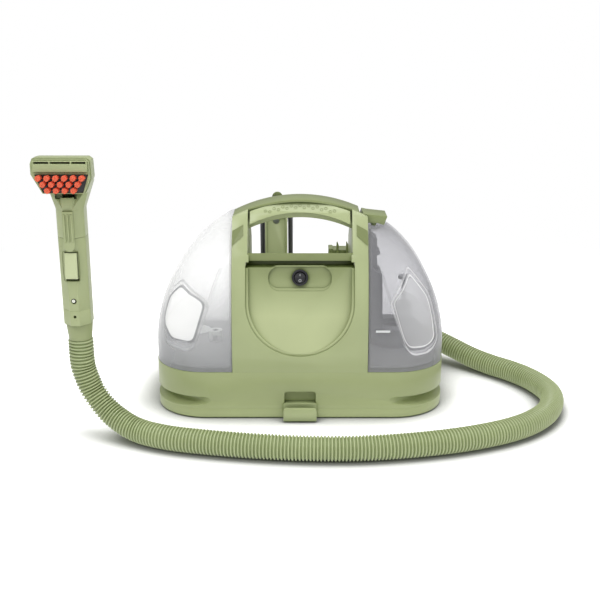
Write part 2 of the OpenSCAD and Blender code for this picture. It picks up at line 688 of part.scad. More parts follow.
// Air channel from the top of the tank down to the port
module separator_tower() color("#98999b") translate([0, tower_y, 0]) difference() {
    union() {
        across(tower_x, tower_x + 2) polygon([[-tower_w, sep_top], [tower_w, sep_top],
            [tower_w, tower_top - 25], [tower_w - 12, tower_top], [12 - tower_w, tower_top],
            [-tower_w, tower_top - 25]]);
        upright(2 - tower_w, tower_w - 2) polygon([[tower_x, sep_top], [tower_x + 18, sep_top],
            [tower_x + 16, tower_mid - 13], [tower_x, tower_mid]]);
        upright(-14, 14) polygon([[tower_x, tower_mid - 3], [tower_x + 11, tower_mid - 9],
            [tower_x + 9, tower_mid + 11], [tower_x + 13, tower_mid + 13], [tower_x + 13, tower_mid + 16],
            [tower_x + 9, tower_mid + 18], [tower_x + 9, tower_top - 7], [tower_x, tower_top]]);
        translate([tower_x - 3, -tower_y - port_w / 2 - 3, port_z0 - 3])
            cube([4, port_w + 6, port_z1 - port_z0 + 6]);
    }
    upright(5 - tower_w, tower_w - 5) polygon([[tower_x + 2, sep_top + 4], [tower_x + 15, sep_top + 4],
        [tower_x + 13.4, tower_mid - 16], [tower_x + 2, tower_mid - 9]]);
    upright(-11, 11) polygon([[tower_x + 2, tower_mid - 21], [tower_x + 8, tower_mid - 21],
        [tower_x + 6.6, tower_mid + 15], [tower_x + 6.6, tower_top - 10], [tower_x + 2, tower_top - 7]]);
    translate([tower_x - 4, -11, tower_top - 18]) cube([60, 22, 7]);
    translate([tower_x - 4, -tower_y - port_w / 2, port_z0]) cube([8, port_w, port_z1 - port_z0]);
}
float_at = [intake_at[0] + 14, 16];
module float_guide() color("#8d8e90") translate([float_at[0], float_at[1], sep_top]) {
    cylinder(r = 3, h = 60);
    translate([0, 0, 56]) cylinder(r = 8, h = 4);
}
module float() color("#f0f0f0") translate([float_at[0], float_at[1], sep_top + 1]) ring(11, 3.4, 22);
module intake_seal() color(rubber) translate([intake_at[0], intake_at[1], seam_z - 1])
    ring(intake_d / 2 + 4, intake_d / 2, 1);

// ---- Inside the housing ----
motor_at = [house_x - 65, -14];
motor_r = 38;
motor_z0 = 18;
motor_z1 = 98;
module suction_duct() color("#6f7075") difference() {
    union() {
        translate([intake_at[0], intake_at[1], elbow_z - 12])
            cylinder(r = intake_d / 2 + 2, h = deck_z - elbow_z + 12);
        translate([intake_at[0], intake_at[1], elbow_z]) sphere(r = 14);
        translate([elbow_x, intake_at[1], elbow_z]) rotate([-90, 0, 0])
            cylinder(r = 12, h = front_y - wall - intake_at[1]);
        translate([elbow_x, intake_at[1], elbow_z]) sphere(r = 12);
        translate([elbow_x, intake_at[1], elbow_z]) rotate([0, 90, 0])
            cylinder(r = 12, h = intake_at[0] - elbow_x);
        translate([elbow_x - 11, outlet_y, elbow_z]) rotate([0, -90, 0])
            cylinder(r = tube_bore - fit, h = 9);
    }
    translate([intake_at[0], intake_at[1], elbow_z]) cylinder(r = intake_d / 2, h = 60);
    translate([elbow_x, intake_at[1], elbow_z]) rotate([-90, 0, 0]) cylinder(r = 10, h = 200);
    translate([elbow_x, intake_at[1], elbow_z]) sphere(r = 10);
    translate([elbow_x, intake_at[1], elbow_z]) rotate([0, 90, 0])
        cylinder(r = 10, h = intake_at[0] - elbow_x);
}
module motor_case() color("#55565a") translate([motor_at[0], motor_at[1], 0]) difference() {
    translate([0, 0, motor_z0]) cylinder(r = motor_r, h = motor_z1 - motor_z0);
    translate([0, 0, motor_z0 + 3]) cylinder(r = motor_r - 3, h = motor_z1 - motor_z0 - 6);
    translate([0, 0, motor_z0 - 1]) cylinder(r = 6, h = 5);
    translate([0, 0, motor_z1 - 5]) cylinder(r = 6, h = 8);
}
module motor_mount() color(rubber) translate([motor_at[0], motor_at[1], foot_h + wall])
    ring(motor_r - 6, 12, motor_z0 - foot_h - wall);
module motor_rotor() color(steel) translate([motor_at[0], motor_at[1], 0]) {
    translate([0, 0, motor_z0 + 0.5]) cylinder(r = 4, h = motor_z1 + 16 - motor_z0);
    translate([0, 0, motor_z0 + 12]) cylinder(r = motor_r - 14, h = motor_z1 - motor_z0 - 34);
}
fan_r = 44;
module fan_cover() color("#6f7075") translate([motor_at[0], motor_at[1], motor_z1]) difference() {
    cylinder(r = fan_r + 4, h = 30);
    translate([0, 0, -1]) cylinder(r = fan_r + 2, h = 29);
    translate([0, 0, 20]) cylinder(r = 17, h = 30);
    translate([-14, fan_r - 2, 4]) cube([28, 10, 14]);
}
// Flat duct from the port to the fan's inlet
duct_z0 = motor_z1 + 30;
duct_x = motor_at[0] - 22;
duct_y = motor_at[1] - 20;
module air_duct() color("#6f7075") difference() {
    translate([duct_x, duct_y, duct_z0])
        cube([house_x - wall - duct_x, port_w / 2 + 3 - duct_y, port_z1 + 3 - duct_z0]);
    translate([duct_x + 3, duct_y + 3, duct_z0 + 3])
        cube([house_x - duct_x, port_w / 2 - duct_y - 3, port_z1 - duct_z0 - 3]);
    translate([motor_at[0], motor_at[1], duct_z0 - 1]) cylinder(r = 17, h = 8);
}
module port_seal() color(rubber) translate([house_x - 0.8, 0, 0]) difference() {
    translate([0, -port_w / 2 - 3, port_z0 - 3]) cube([1.2, port_w + 6, port_z1 - port_z0 + 6]);
    translate([-1, -port_w / 2, port_z0]) cube([4, port_w, port_z1 - port_z0]);
}
module fan_wheel() color("#d0d0d4") translate([motor_at[0], motor_at[1], motor_z1 + 4]) difference() {
    union() {
        cylinder(r = fan_r, h = 1.6);
        cylinder(r = 8, h = 12);
        for (a = [0 : 40 : 320]) rotate([0, 0, a]) translate([14, -0.6, 1]) rotate([0, 0, 24])
            cube([27, 1.2, 11]);
    }
    translate([0, 0, -1]) cylinder(r = 4.05, h = 20);
}
pump_at = [31 - house_x, -34];
pump_w = 14;
pump_l = 20;
pump_h = 44;
module pump() color("#45464a") translate([pump_at[0], pump_at[1], 0]) {
    translate([-pump_w, -pump_l, pan_floor]) cube([2 * pump_w, 2 * pump_l, pump_h]);
    translate([0, 0, pan_floor + pump_h]) cylinder(r = pump_w - 3, h = pump_h - 18);
    translate([-pump_w, 0, pipe_z]) rotate([0, -90, 0]) cylinder(r = tube_bore - fit, h = 10);
    translate([0, pump_l, elbow_z]) rotate([-90, 0, 0]) cylinder(r = tube_bore - fit, h = 10);
}
module bend() rotate_extrude(angle = 90) translate([bend_r, 0]) difference() {
    circle(tube_r);
    circle(tube_bore);
}
// Hose from the valve seat to the pump
module pump_inlet() color("#d9d9d2") translate([0, 0, pipe_z]) {
    translate([valve_at[0], -20.5, 0]) rotate([90, 0, 0])
        ring(tube_r, tube_bore, -20.5 - pump_at[1] - bend_r);
    translate([valve_at[0] + bend_r, pump_at[1] + bend_r, 0]) rotate([0, 0, 180]) bend();
    translate([valve_at[0] + bend_r, pump_at[1], 0]) rotate([0, 90, 0])
        ring(tube_r, tube_bore, pump_at[0] - pump_w - 0.5 - valve_at[0] - bend_r);
}
// Hose from the pump to the duct, where the solution line joins the suction hose
outlet_y = 60;
module pump_outlet() color("#d9d9d2") translate([0, 0, elbow_z]) {
    translate([pump_at[0], pump_at[1] + pump_l + 0.5, 0]) rotate([-90, 0, 0])
        ring(tube_r, tube_bore, outlet_y - bend_r - pump_at[1] - pump_l - 0.5);
    translate([pump_at[0] + bend_r, outlet_y - bend_r, 0]) rotate([0, 0, 90]) bend();
    translate([pump_at[0] + bend_r, outlet_y, 0]) rotate([0, 90, 0])
        ring(tube_r, tube_bore, elbow_x - 12.5 - pump_at[0] - bend_r);
}

// ---- Rear fittings ----
// Bracket on the roof that the spray tool's handle rests in
module tool_rest() color(olive) {
    translate([rest_x, 62, roof_z]) cube([34, 26, rest_h]);
    translate([rest_x, 62, roof_z + rest_h]) cube([6, 26, 1.5]);
    for (x = [rest_x + 12, rest_x + 25]) upright(58, 62) polygon([[x - 1.5, roof_z], [x + 1.5, roof_z],
        [x + 1.5, roof_z + 23],
        [x - 0.5, roof_z + 28], [x - 1.5, roof_z + 26]]);
}
rest_h = 15;
rest_x = house_x - 44;
loop_r = post_w / 2 + 0.8 + cord_d / 2;
stem_r = loop_r - cord_d / 2 - 0.5;
coil_y = alcove_y + cord_d / 2 + 2.6;
coil_len = cord_turns * cord_pitch;
stem_y1 = coil_y + coil_len + cord_d / 2 + 0.5;
post_t = 6;
post_top = 244;
// Upright plate with the fixed lower hook
module wrap_post() color(green) {
    difference() {
        union() {
            translate([wrap_x - post_w / 2, alcove_y - post_t, roof_z])
                cube([post_w, post_t, hook_hi - roof_z + 8]);
            translate([wrap_x, alcove_y - post_t, hook_hi + 7]) rotate([-90, 0, 0])
                cylinder(r = post_w / 2, h = post_t);
        }
        translate([wrap_x - post_w / 2 + 2.5, alcove_y - post_t - 1, roof_z + 4])
            cube([post_w - 5, 3, hook_hi - roof_z]);
        translate([wrap_x, alcove_y - post_t + 1.4, hook_hi]) rotate([-90, 0, 0]) cylinder(r = 4.2, h = 200);
    }
}
// Fixed lower hook: half round stem and its flange
module lower_hook() translate([0, alcove_y - wall, 0]) difference() {
        union() {
            translate([wrap_x, 0, hook_lo]) rotate([-90, 0, 0])
                cylinder(r = stem_r, h = stem_y1 + wall - alcove_y);
            translate([wrap_x, stem_y1 + wall - alcove_y, hook_lo - 18]) rotate([-90, 0, 0])
                cylinder(r = 8, h = 3);
            translate([wrap_x - 8, stem_y1 + wall - alcove_y, hook_lo - 18]) cube([16, 3, 20]);
        }
        translate([wrap_x - 40, -1, hook_lo + 1]) cube([80, 200, 60]);
        translate([wrap_x, wall, hook_lo]) rotate([-90, 0, 0])
            cylinder(r = stem_r - 3, h = stem_y1 - alcove_y);
    }
// Upper hook, turned down to drop the cord off
module wrap_hook() color(olive) difference() {
    union() {
        intersection() {
            translate([wrap_x, alcove_y + 0.3, hook_hi]) rotate([-90, 0, 0])
                cylinder(r = stem_r, h = stem_y1 - alcove_y - 0.3);
            translate([wrap_x - 40, 0, hook_hi - 5]) cube([80, 200, 60]);
        }
        translate([wrap_x, stem_y1, hook_hi + 18]) rotate([-90, 0, 0]) cylinder(r = 7.5, h = 3);
        translate([wrap_x - 7.5, stem_y1, hook_hi - 5]) cube([15, 3, 23]);
    }
    translate([wrap_x, 0, hook_hi]) rotate([-90, 0, 0]) cylinder(r = 4.2, h = 200);
    translate([wrap_x, stem_y1 - 1, hook_hi]) rotate([-90, 0, 0]) cylinder(r = 6.2, h = 20);
    difference() {
        translate([wrap_x, alcove_y + 3, hook_hi]) rotate([-90, 0, 0])
            cylinder(r = stem_r - 2.6, h = stem_y1 - alcove_y - 6);
        translate([wrap_x, 0, hook_hi]) rotate([-90, 0, 0]) cylinder(r = 7, h = 200);
        translate([wrap_x - 40, 0, hook_hi - 5]) cube([80, 200, 2.5]);
    }
}
// Shoulder screw that goes in from behind; the hook turns on it
module wrap_screw() color(steel) translate([wrap_x, alcove_y - post_t + 1.5, hook_hi]) rotate([-90, 0, 0]) {
    cylinder(r = 3.9, h = stem_y1 - alcove_y + post_t - 2.2);
    translate([0, 0, stem_y1 - alcove_y + post_t - 2.3]) cylinder(r = 5.8, h = 3);
}
cord_x0 = wrap_x - loop_r;
cord_start = alcove_z + 14;
module strain_relief() color(black) translate([cord_x0, coil_y, alcove_z]) difference() {
    cylinder(r1 = 5.5, r2 = 4, h = cord_start - alcove_z);
    translate([0, 0, 1]) cylinder(r = cord_d / 2, h = 40);
}

// ---- Swept tubes ----
function unit(v) = v / norm(v);
// Point of a smooth curve through list p at parameter t from 0 to len(p) - 1
function spline(p, t) = let (n = len(p) - 1, i = min(floor(t), n - 1), u = t - i,
        a = p[max(i - 1, 0)], b = p[i], c = p[i + 1], d = p[min(i + 2, n)])
    0.5 * (2 * b + (c - a) * u + (2 * a - 5 * b + 4 * c - d) * u * u + (3 * b - a - 3 * c + d) * u * u * u);
function tangents(p) = [for (i = [0 : len(p) - 1]) unit(p[min(i + 1, len(p) - 1)] - p[max(i - 1, 0)])];
function square_to(v, t) = unit(v - (v * t) * t);
// Rings of s points and radius r[i] round the path p, carried along it without twist
function tube_rings(p, r, s, v0) = let (t = tangents(p))
    [for (i = 0, v = square_to(v0, t[0]); i < len(p); i = i + 1, v = i < len(p) ? square_to(v, t[i]) : v)
        let (w = cross(t[i], v)) [for (k = [0 : s - 1]) let (a = 360 * (k + 0.5) / s)
            p[i] + r[i] * (cos(a) * v + sin(a) * w)]];
function reach(p) = [for (i = 0, d = 0; i < len(p); i = i + 1,
    d = i < len(p) ? d + norm(p[i] - p[i - 1]) : d) d];
// Parameter values that step evenly along the path: the table d of a path sampled m times a span
function even(d, m, want, i = 0) = d[i + 1] >= want || i >= len(d) - 2
    ? (i + (want - d[i]) / max(d[i + 1] - d[i], 0.001)) / m : even(d, m, want, i + 1);

// Hose route on the floor, round the machine and up into the tool's cuff
hose_z = hose_d / 2;
elbow_y = front_y + 19;
wand_at = [-256, -148];
cuff_z = 121;
hose_path = [[elbow_x + 30, elbow_y, elbow_z], [elbow_x + 42, elbow_y, elbow_z],
    [elbow_x + 56, elbow_y, elbow_z], [elbow_x + 74, elbow_y - 2, elbow_z - 1.5],
    [174, elbow_y - 8, elbow_z - 5], [196, 105.5, 31.5], [218, 89, 25], [242, 68, 18],
    [266, 46, hose_z], [288, 22, hose_z], [306, -4, hose_z], [318, -34, hose_z], [322, -62, hose_z],
    [316, -92, hose_z], [300, -124, hose_z], [272, -154, hose_z], [234, -178, hose_z], [184, -198, hose_z],
    [128, -212, hose_z], [68, -220, hose_z], [8, -220, hose_z], [-52, -214, hose_z], [-108, -204, hose_z],
    [-156, -191, hose_z], [-194, -173, 17], [-224, -158, 31], [-244, -150, 54], [-254, -148, 80],
    [-256, -148, 97], [-256, -148, 109], [-256, -148, cuff_z]];
hose_m = 6;
hose_fine = [for (i = [0 : (len(hose_path) - 1) * hose_m]) spline(hose_path, i / hose_m)];
hose_reach = reach(hose_fine);
hose_len = hose_reach[len(hose_reach) - 1];
function hose_at(f) = spline(hose_path, even(hose_reach, hose_m, f * hose_len));
rib_deep = 1.9;
module hose() color(green) {
    s = 8;
    n = 2 * hose_ribs;
    m = 84;
    outer = tube_rings([for (i = [0 : n]) hose_at(i / n)],
        [for (i = [0 : n]) (i % 2 == 0 ? hose_d / 2 - rib_deep : hose_d / 2) / cos(180 / s) * 0.985],
        s, [0, 0, 1]);
    inner = tube_rings([for (i = [0 : m]) hose_at(i / m)],
        [for (i = [0 : m]) hose_bore / 2 / cos(180 / s)], s,
        [0, 0, 1]);
    o = (n + 1) * s;
    polyhedron(points = concat([for (r = outer) each r], [for (r = inner) each r]), faces = concat(
        [for (k = [0 : n - 1], i = [0 : s - 1]) let (a = k * s + i, b = k * s + (i + 1) % s)
            each [[a, a + s, b], [b, a + s, b + s]]],
        [for (k = [0 : m - 1], i = [0 : s - 1]) let (a = o + k * s + i, b = o + k * s + (i + 1) % s)
            each [[a, b, a + s], [b, b + s, a + s]]],
        [for (i = [0 : s - 1]) let (j = (i + 1) % s) [i, j, o + i]],
        [for (i = [0 : s - 1]) let (j = (i + 1) % s) [j, o + j, o + i]],
        [for (i = [0 : s - 1]) let (j = (i + 1) % s, a = n * s, b = o + m * s) [a + i, b + i, a + j]],
        [for (i = [0 : s - 1]) let (j = (i + 1) % s, a = n * s, b = o + m * s) [a + j, b + i, b + j]]));
}
echo(hose_length = hose_len);

// Swivel elbow that carries the hose out of the back wall and along it
module hose_elbow() color(olive) {
    difference() {
        union() {
            translate([elbow_x, front_y, elbow_z]) rotate([-90, 0, 0]) cylinder(r = elbow_r + 3, h = 3);
            translate([elbow_x, front_y, elbow_z]) rotate([-90, 0, 0])
                cylinder(r = elbow_r, h = elbow_y - front_y);
            translate([elbow_x, elbow_y, elbow_z]) sphere(r = elbow_r);
            translate([elbow_x, elbow_y, elbow_z]) rotate([0, 90, 0]) cylinder(r = elbow_r, h = 30);
            translate([elbow_x + 22, elbow_y, elbow_z]) rotate([0, 90, 0])
                cylinder(r = elbow_r + 1.5, h = 8);
            translate([elbow_x + 30, elbow_y, elbow_z]) rotate([0, 90, 0])
                cylinder(r = spigot_r, h = spigot_h);
        }
        translate([elbow_x, front_y - 1, elbow_z]) rotate([-90, 0, 0])
            cylinder(r = 10, h = elbow_y - front_y + 1);
        translate([elbow_x, elbow_y, elbow_z]) sphere(r = 10);
        translate([elbow_x, elbow_y, elbow_z]) rotate([0, 90, 0]) cylinder(r = 9, h = 30 + spigot_h + 8);
    }
}
spigot_r = hose_bore / 2 - 0.4;
spigot_h = 12;

// ---- Power cord ----
// One turn round both hooks as (x, z), 24 points
turn_n = 24;
function turn(i) = let (k = i % turn_n) k < 2 ? [-loop_r, hook_lo + (hook_hi - hook_lo) * (k + 0.5) / 2]
    : k < 12 ? let (a = 180 - 180 * (k - 2 + 0.5) / 10) [loop_r * cos(a), hook_hi + loop_r * sin(a)]
    : k < 14 ? [loop_r, hook_hi - (hook_hi - hook_lo) * (k - 12 + 0.5) / 2]
    : let (a = -180 * (k - 14 + 0.5) / 10) [loop_r * cos(a), hook_lo + loop_r * sin(a)];
coil = [for (i = [0 : cord_turns * turn_n - 12]) let (q = turn(i))
    [wrap_x + q[0], coil_y + cord_pitch * i / turn_n, q[1]]];
cord_end = [wrap_x + loop_r, coil[len(coil) - 1][1], hook_lo + 8];
cord_path = concat([[cord_x0, coil_y, alcove_z + 1], [cord_x0, coil_y, hook_lo + 2]], coil,
    [cord_end, [cord_end[0], cord_end[1] + 4, hook_lo - 6], [cord_end[0], cord_end[1] + 7, hook_lo - 22],
    [cord_end[0], cord_end[1] + 7, hook_lo - 30]]);
cord_gap = min([for (i = [0 : len(coil) - 1 - turn_n], j = [-3 : 3]) let (k = i + turn_n + j)
    if (k < len(coil) && k >= 0) norm(coil[i] - coil[k])]) - cord_d;
echo(least_gap_of_the_wound_cord = cord_gap);
cord_reach = reach(cord_path);
echo(cord_length = cord_reach[len(cord_reach) - 1]);
module power_cord() color(black) loft(tube_rings(cord_path, [for (p = cord_path) cord_d / 2], 6, [1, 0, 0]));

plug_at = [cord_end[0], cord_end[1] + 7, hook_lo - 30];
module power_plug() color(black) translate(plug_at) {
    translate([0, 0, -12]) cylinder(r1 = 8, r2 = 4.4, h = 12);
    translate([0, 0, -30]) linear_extrude(18) plan(26, 20, 6);
    for (s = [-1, 1]) translate([s * 6.35 - 0.75, -3.2, -46]) cube([1.5, 6.4, 16]);
}

// ---- Spray tool ----
// Section of the wand: a flat front with a cove down each side of it, and a round back
module wand_outline(g = 0) offset(delta = -g) union() {
    intersection() {
        plan(wand_w, wand_d, wand_w / 2 - 0.2);
        translate([-wand_w, part_y - 4]) square([2 * wand_w, wand_d]);
    }
    for (s = [0, 1]) mirror([s, 0]) polygon([[-1, part_y - 3], [-1, -wand_d / 2], [flat_x, -wand_d / 2],
        [flat_x + 3.8, 4.6 - wand_d / 2], [flat_x + 7.4, 7.2 - wand_d / 2], [wand_w / 2, part_y - 4],
        [wand_w / 2, part_y - 3]]);
}
flat_x = 5.2;
wand_z0 = cuff_z + 21;
wand_z1 = wand_z0 + wand_h;
part_y = -5;
bore_y = 6;
bore_r = 9;
cover_z = wand_z0 + 18;
trigger_z = wand_z0 + 56;
trigger_w = 13.6;
module at_wand() translate([wand_at[0], wand_at[1], 0]) children();

module hose_cuff() color(olive) at_wand() difference() {
    union() {
        translate([0, 0, cuff_z + 3]) cylinder(r1 = 13.4, r2 = wand_w / 2, h = wand_z0 - cuff_z - 3);
        translate([0, 0, cuff_z]) cylinder(r = 13.4, h = 3.1);
        translate([0, 0, cuff_z - spigot_h]) cylinder(r = spigot_r, h = spigot_h + 1);
    }
    translate([0, 0, cuff_z - spigot_h - 1]) cylinder(r = 9, h = 40);
}
module wand_bore() translate([0, bore_y, wand_z0 - 1]) cylinder(r = bore_r, h = wand_h + 2);
module wand_body() color(green) at_wand() difference() {
    translate([0, 0, wand_z0]) linear_extrude(wand_h) wand_outline();
    wand_bore();
    translate([-40, -60, cover_z]) cube([80, 60 + part_y, 200]);
    translate([0, -30, wand_z0 + 11]) rotate([-90, 0, 0]) cylinder(r = 1.6, h = 16);
}
module wand_front() color(green) at_wand() difference() {
    intersection() {
        translate([0, 0, cover_z]) linear_extrude(wand_z1 - cover_z) wand_outline();
        translate([-40, -60, cover_z]) cube([80, 60 + part_y, 200]);
    }
    translate([-trigger_w / 2 - 0.6, -60, trigger_z - 3]) cube([trigger_w + 1.2, 80, trigger_h + 4]);
    translate([0, -30, cover_z + 11.6]) rotate([-90, 0, 0]) cylinder(r = 3.1, h = 18);
    translate([-trigger_w / 2 - 4, trigger_axis[0], trigger_axis[1]])
        rotate([0, 90, 0]) cylinder(r = pin_r + 0.03, h = trigger_w + 8);
    translate([0, -10, wand_z1 - 16]) cylinder(r = 2.6, h = 20);
}
trigger_axis = [-12, trigger_z + trigger_h - 5];
coil_w = 6;
module trigger() color(pale) at_wand() difference() {
    across(-trigger_w / 2, trigger_w / 2) polygon([[-8, trigger_z + trigger_h],
        [-20.5, trigger_z + trigger_h],
        [-23, trigger_z + 4], [-21, trigger_z], [-17, trigger_z], [-17.5, trigger_z + trigger_h - 10],
        [-8, trigger_z + trigger_h - 10]]);
    translate([-trigger_w, trigger_axis[0], trigger_axis[1]]) rotate([0, 90, 0])
        cylinder(r = pin_r + 0.06, h = 60);
    // room for the coil round the pin
    translate([-coil_w / 2 - 0.4, -16.5, trigger_z + trigger_h - 11]) cube([coil_w + 0.8, 20, 20]);
}
module trigger_pin() color(steel) at_wand() translate([-trigger_w / 2 - 4, trigger_axis[0], trigger_axis[1]])
    rotate([0, 90, 0]) cylinder(r = pin_r, h = trigger_w + 8);
module trigger_spring() color(steel) at_wand() translate([-coil_w / 2, trigger_axis[0], trigger_axis[1]])
    rotate([0, 90, 0]) ring(3.6, pin_r, coil_w);
module spray_line() color("#d9d9d2") at_wand() translate([0, -10, wand_z1 - 15.5])
    cylinder(r = 2.4, h = 15.5);

// Outline of the tool's head as (x, z) about the wand's axis
head_z0 = wand_z1 + 51.6;
head_z1 = wand_z1 + 91;
head_face = -30;
head_back = -4;
head_x = -1.5;
module head_outline(g = 0) polygon([[head_x - 22.5 + g, head_z0 + g], [head_x - 34 + g, head_z0 + 22],
    [head_x - 34 + g, head_z1 - 6], [head_x - 32 + g, head_z1 - 1 - g], [head_x - 28, head_z1 - g],
    [head_x + 27, head_z1 - g], [head_x + 31 - g, head_z1 - 3 - g], [head_x + 31.6 - g, head_z1 - 22],
    [head_x + 27 - g, head_z0 + 6], [head_x + 24 - g, head_z0 + g]]);
brush_outline = [[head_x - 29, head_z1 - 17.4], [head_x + 29.4, head_z1 - 17.4],
    [head_x + 22.6, head_z1 - 37.6], [head_x - 21, head_z1 - 37.6]];

module nozzle_head() color(green) at_wand() difference() {
    union() {
        // neck
        translate([0, 0, wand_z1 + 0.3]) linear_extrude(neck_h - 0.3) wand_outline();
        hull() {
            translate([0, 0, wand_z1 + neck_h - 14]) linear_extrude(1) wand_outline(0.12);
            upright(-9, 12)
                polygon([[-21, head_z0 - 1], [-22, head_z0 + 10], [25, head_z0 + 10], [20, head_z0 - 4]]);
        }
        hull() {
            upright(head_face + 5, head_back - 4) head_outline();
            upright(head_face + 5, 8)
                polygon([[-22, head_z0 + 4], [-24, head_z1 - 14], [22, head_z1 - 14], [23, head_z0 + 4]]);
        }
        upright(head_face, head_face + 5) head_outline(1);
        // spigot that goes into the wand
        translate([0, bore_y, wand_z1 - 18]) cylinder(r = bore_r - 0.15, h = 20);
    }
    translate([0, bore_y, wand_z1 - 19]) cylinder(r = bore_r - 2, h = neck_h + 25);
    translate([-7, -17, wand_z1 + neck_h - 2]) cube([14, 23, 7]);
    translate([-14, -17, wand_z1 + neck_h - 2]) cube([24, 7, head_z1 - 8 - wand_z1 - neck_h + 2]);
    // recess for the brush block
    upright(head_face - 1, head_face + 4) polygon(brush_outline);
    // seat of the lock tab
    translate([-tab_w / 2, tab_y, wand_z1]) cube([tab_w, 4, tab_h]);
    // mouth behind the lip
    upright(head_face - 1, head_face + 12) translate([lip_x, head_z1 - 14.4]) square([lip_w, 12]);
}
lip_x = head_x - 30;
lip_w = 59;
module nozzle_lip() color(pale) at_wand() difference() {
    upright(head_face - 3, head_face + 12) translate([lip_x, head_z1 - 14.4]) square([lip_w, 12]);
    for (p = [[1.6, 16.2], [19.4, 21.4], [42.4, 15.2]]) upright(head_face - 4, head_face + 13)
        translate([lip_x + p[0], head_z1 - 5.6]) square([p[1], 2]);
}
neck_h = 46;
tab_w = 12;
tab_h = 31;
tab_y = -wand_d / 2 - 2.3;
module lock_tab() color(pale) at_wand() {
    translate([0, tab_y, wand_z1 - 8]) rotate([-90, 0, 0]) cylinder(r = tab_w / 2, h = 2);
    translate([-tab_w / 2, tab_y, wand_z1 - 8]) cube([tab_w, 2, 8.3]);
    translate([-tab_w / 2, tab_y, wand_z1 + 0.3]) cube([tab_w, 4, tab_h - 0.3]);
    for (x = [-4, 0, 4]) translate([x, tab_y, wand_z1 - 3]) cylinder(r = 1.2, h = tab_h);
}
module brush_block() color("#35353a") at_wand() upright(head_face + 0.6, head_face + 4)
    polygon(brush_outline);
module brush_tufts() color(red) at_wand() for (row = [0 : 2]) for (i = [0 : 5 - row])
    translate([head_x - 23.9 + row * 4.6 + i * 9.4, head_face + 0.6, head_z1 - 20.9 - row * 6.6])
        rotate([90, 0, 0]) cylinder(r = tuft_r - 0.35, h = 9);

base_pan();
base_shell();
rubber_feet();
base_screws();
hose_clip();
front_housing();
rear_housing();
face_panel();
handle_grip();
handle_top();
switch_bezel();
switch_rocker();
tank_latch();
latch_pin();
latch_spring();
clean_tank();
clean_cap();
clean_cap_seal();
valve_collar();
valve_poppet();
valve_spring();
valve_seat();
recovery_tank();
separator_base();
separator_tower();
float();
float_guide();
intake_seal();
port_seal();
suction_duct();
air_duct();
motor_case();
motor_mount();
motor_rotor();
fan_cover();
fan_wheel();
pump();
pump_inlet();
pump_outlet();
tool_rest();
wrap_post();
wrap_hook();
wrap_screw();
strain_relief();
power_cord();
power_plug();
hose_elbow();
hose();
hose_cuff();
wand_body();
wand_front();
trigger();
trigger_pin();
trigger_spring();
spray_line();
nozzle_head();
nozzle_lip();
lock_tab();
brush_block();
brush_tufts();
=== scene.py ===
import math

import bmesh
import bpy
from mathutils import Matrix, Vector


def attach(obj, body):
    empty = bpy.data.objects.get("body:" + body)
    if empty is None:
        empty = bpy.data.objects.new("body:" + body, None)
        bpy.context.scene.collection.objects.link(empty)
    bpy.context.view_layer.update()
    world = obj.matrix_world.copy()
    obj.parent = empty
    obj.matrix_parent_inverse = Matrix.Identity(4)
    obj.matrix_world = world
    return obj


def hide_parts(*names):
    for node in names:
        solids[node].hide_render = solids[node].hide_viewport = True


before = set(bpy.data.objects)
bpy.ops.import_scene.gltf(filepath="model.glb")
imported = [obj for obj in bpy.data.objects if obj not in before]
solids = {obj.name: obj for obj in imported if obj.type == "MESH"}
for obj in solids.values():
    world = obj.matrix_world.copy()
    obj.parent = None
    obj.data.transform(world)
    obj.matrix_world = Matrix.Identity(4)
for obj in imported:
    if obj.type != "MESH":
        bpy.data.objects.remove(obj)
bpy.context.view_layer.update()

# ---- Camera ----
# A short telephoto lens a metre away, at the height of a person who kneels in front of the
# machine, looking a little down on it.
CAMERA_PLACE, CAMERA_TILT = (0, -1.197, 0.484), math.radians(73.2)
lens = bpy.data.cameras.new("camera")
lens.lens = 57
lens.sensor_width = 36
camera = bpy.data.objects.new("camera", lens)
camera.location = CAMERA_PLACE
camera.rotation_euler = (CAMERA_TILT, 0, 0)
bpy.context.scene.collection.objects.link(camera)
bpy.context.scene.camera = camera


# ---- Suction hose ----
# Ribbed hose of soft green vinyl, wound from a moulded strip. It lies round the machine on the
# floor, and is pushed over the elbow's spigot at the back and into the tool's cuff at the front.
def mm(*values):
    """Millimetres as metres, alone or as a point."""
    scaled = [value / 1000 for value in values]
    return scaled[0] if len(scaled) == 1 else Vector(scaled)


class Route:
    """A smooth curve through points, with even steps along its length."""

    def __init__(self, points, per_span):
        last = len(points) - 1
        self.fine = []
        for k in range(last * per_span + 1):
            i = min(k // per_span, last - 1)
            u = k / per_span - i
            a, b, c, d = points[max(i - 1, 0)], points[i], points[i + 1], points[min(i + 2, last)]
            self.fine.append(0.5 * (2 * b + (c - a) * u + (2 * a - 5 * b + 4 * c - d) * u**2
                                    + (3 * b - a - 3 * c + d) * u**3))
        self.reach = [0]
        for a, b in zip(self.fine, self.fine[1:]):
            self.reach.append(self.reach[-1] + (b - a).length)
        self.length = self.reach[-1]

    def places(self, shares, side):
        """Centre, side and up of the curve at each rising share of its length."""
        found, i = [], 0
        for share in shares:
            want = share * self.length
            while i < len(self.fine) - 2 and self.reach[i + 1] < want:
                i += 1
            a, b = self.fine[i], self.fine[i + 1]
            before, after = self.fine[max(i - 1, 0)], self.fine[min(i + 2, len(self.fine) - 1)]
            onward = (after - before).normalized()
            side = (side - onward * side.dot(onward)).normalized()
            centre = a.lerp(b, (want - self.reach[i]) / (self.reach[i + 1] - self.reach[i]))
            found.append((centre, side, onward.cross(side)))
        return found

    def centres(self, steps, side):
        """Points of the curve in even steps, both ends among them."""
        shares = [k / steps for k in range(steps + 1)]
        return [centre for centre, across, up in self.places(shares, side)]


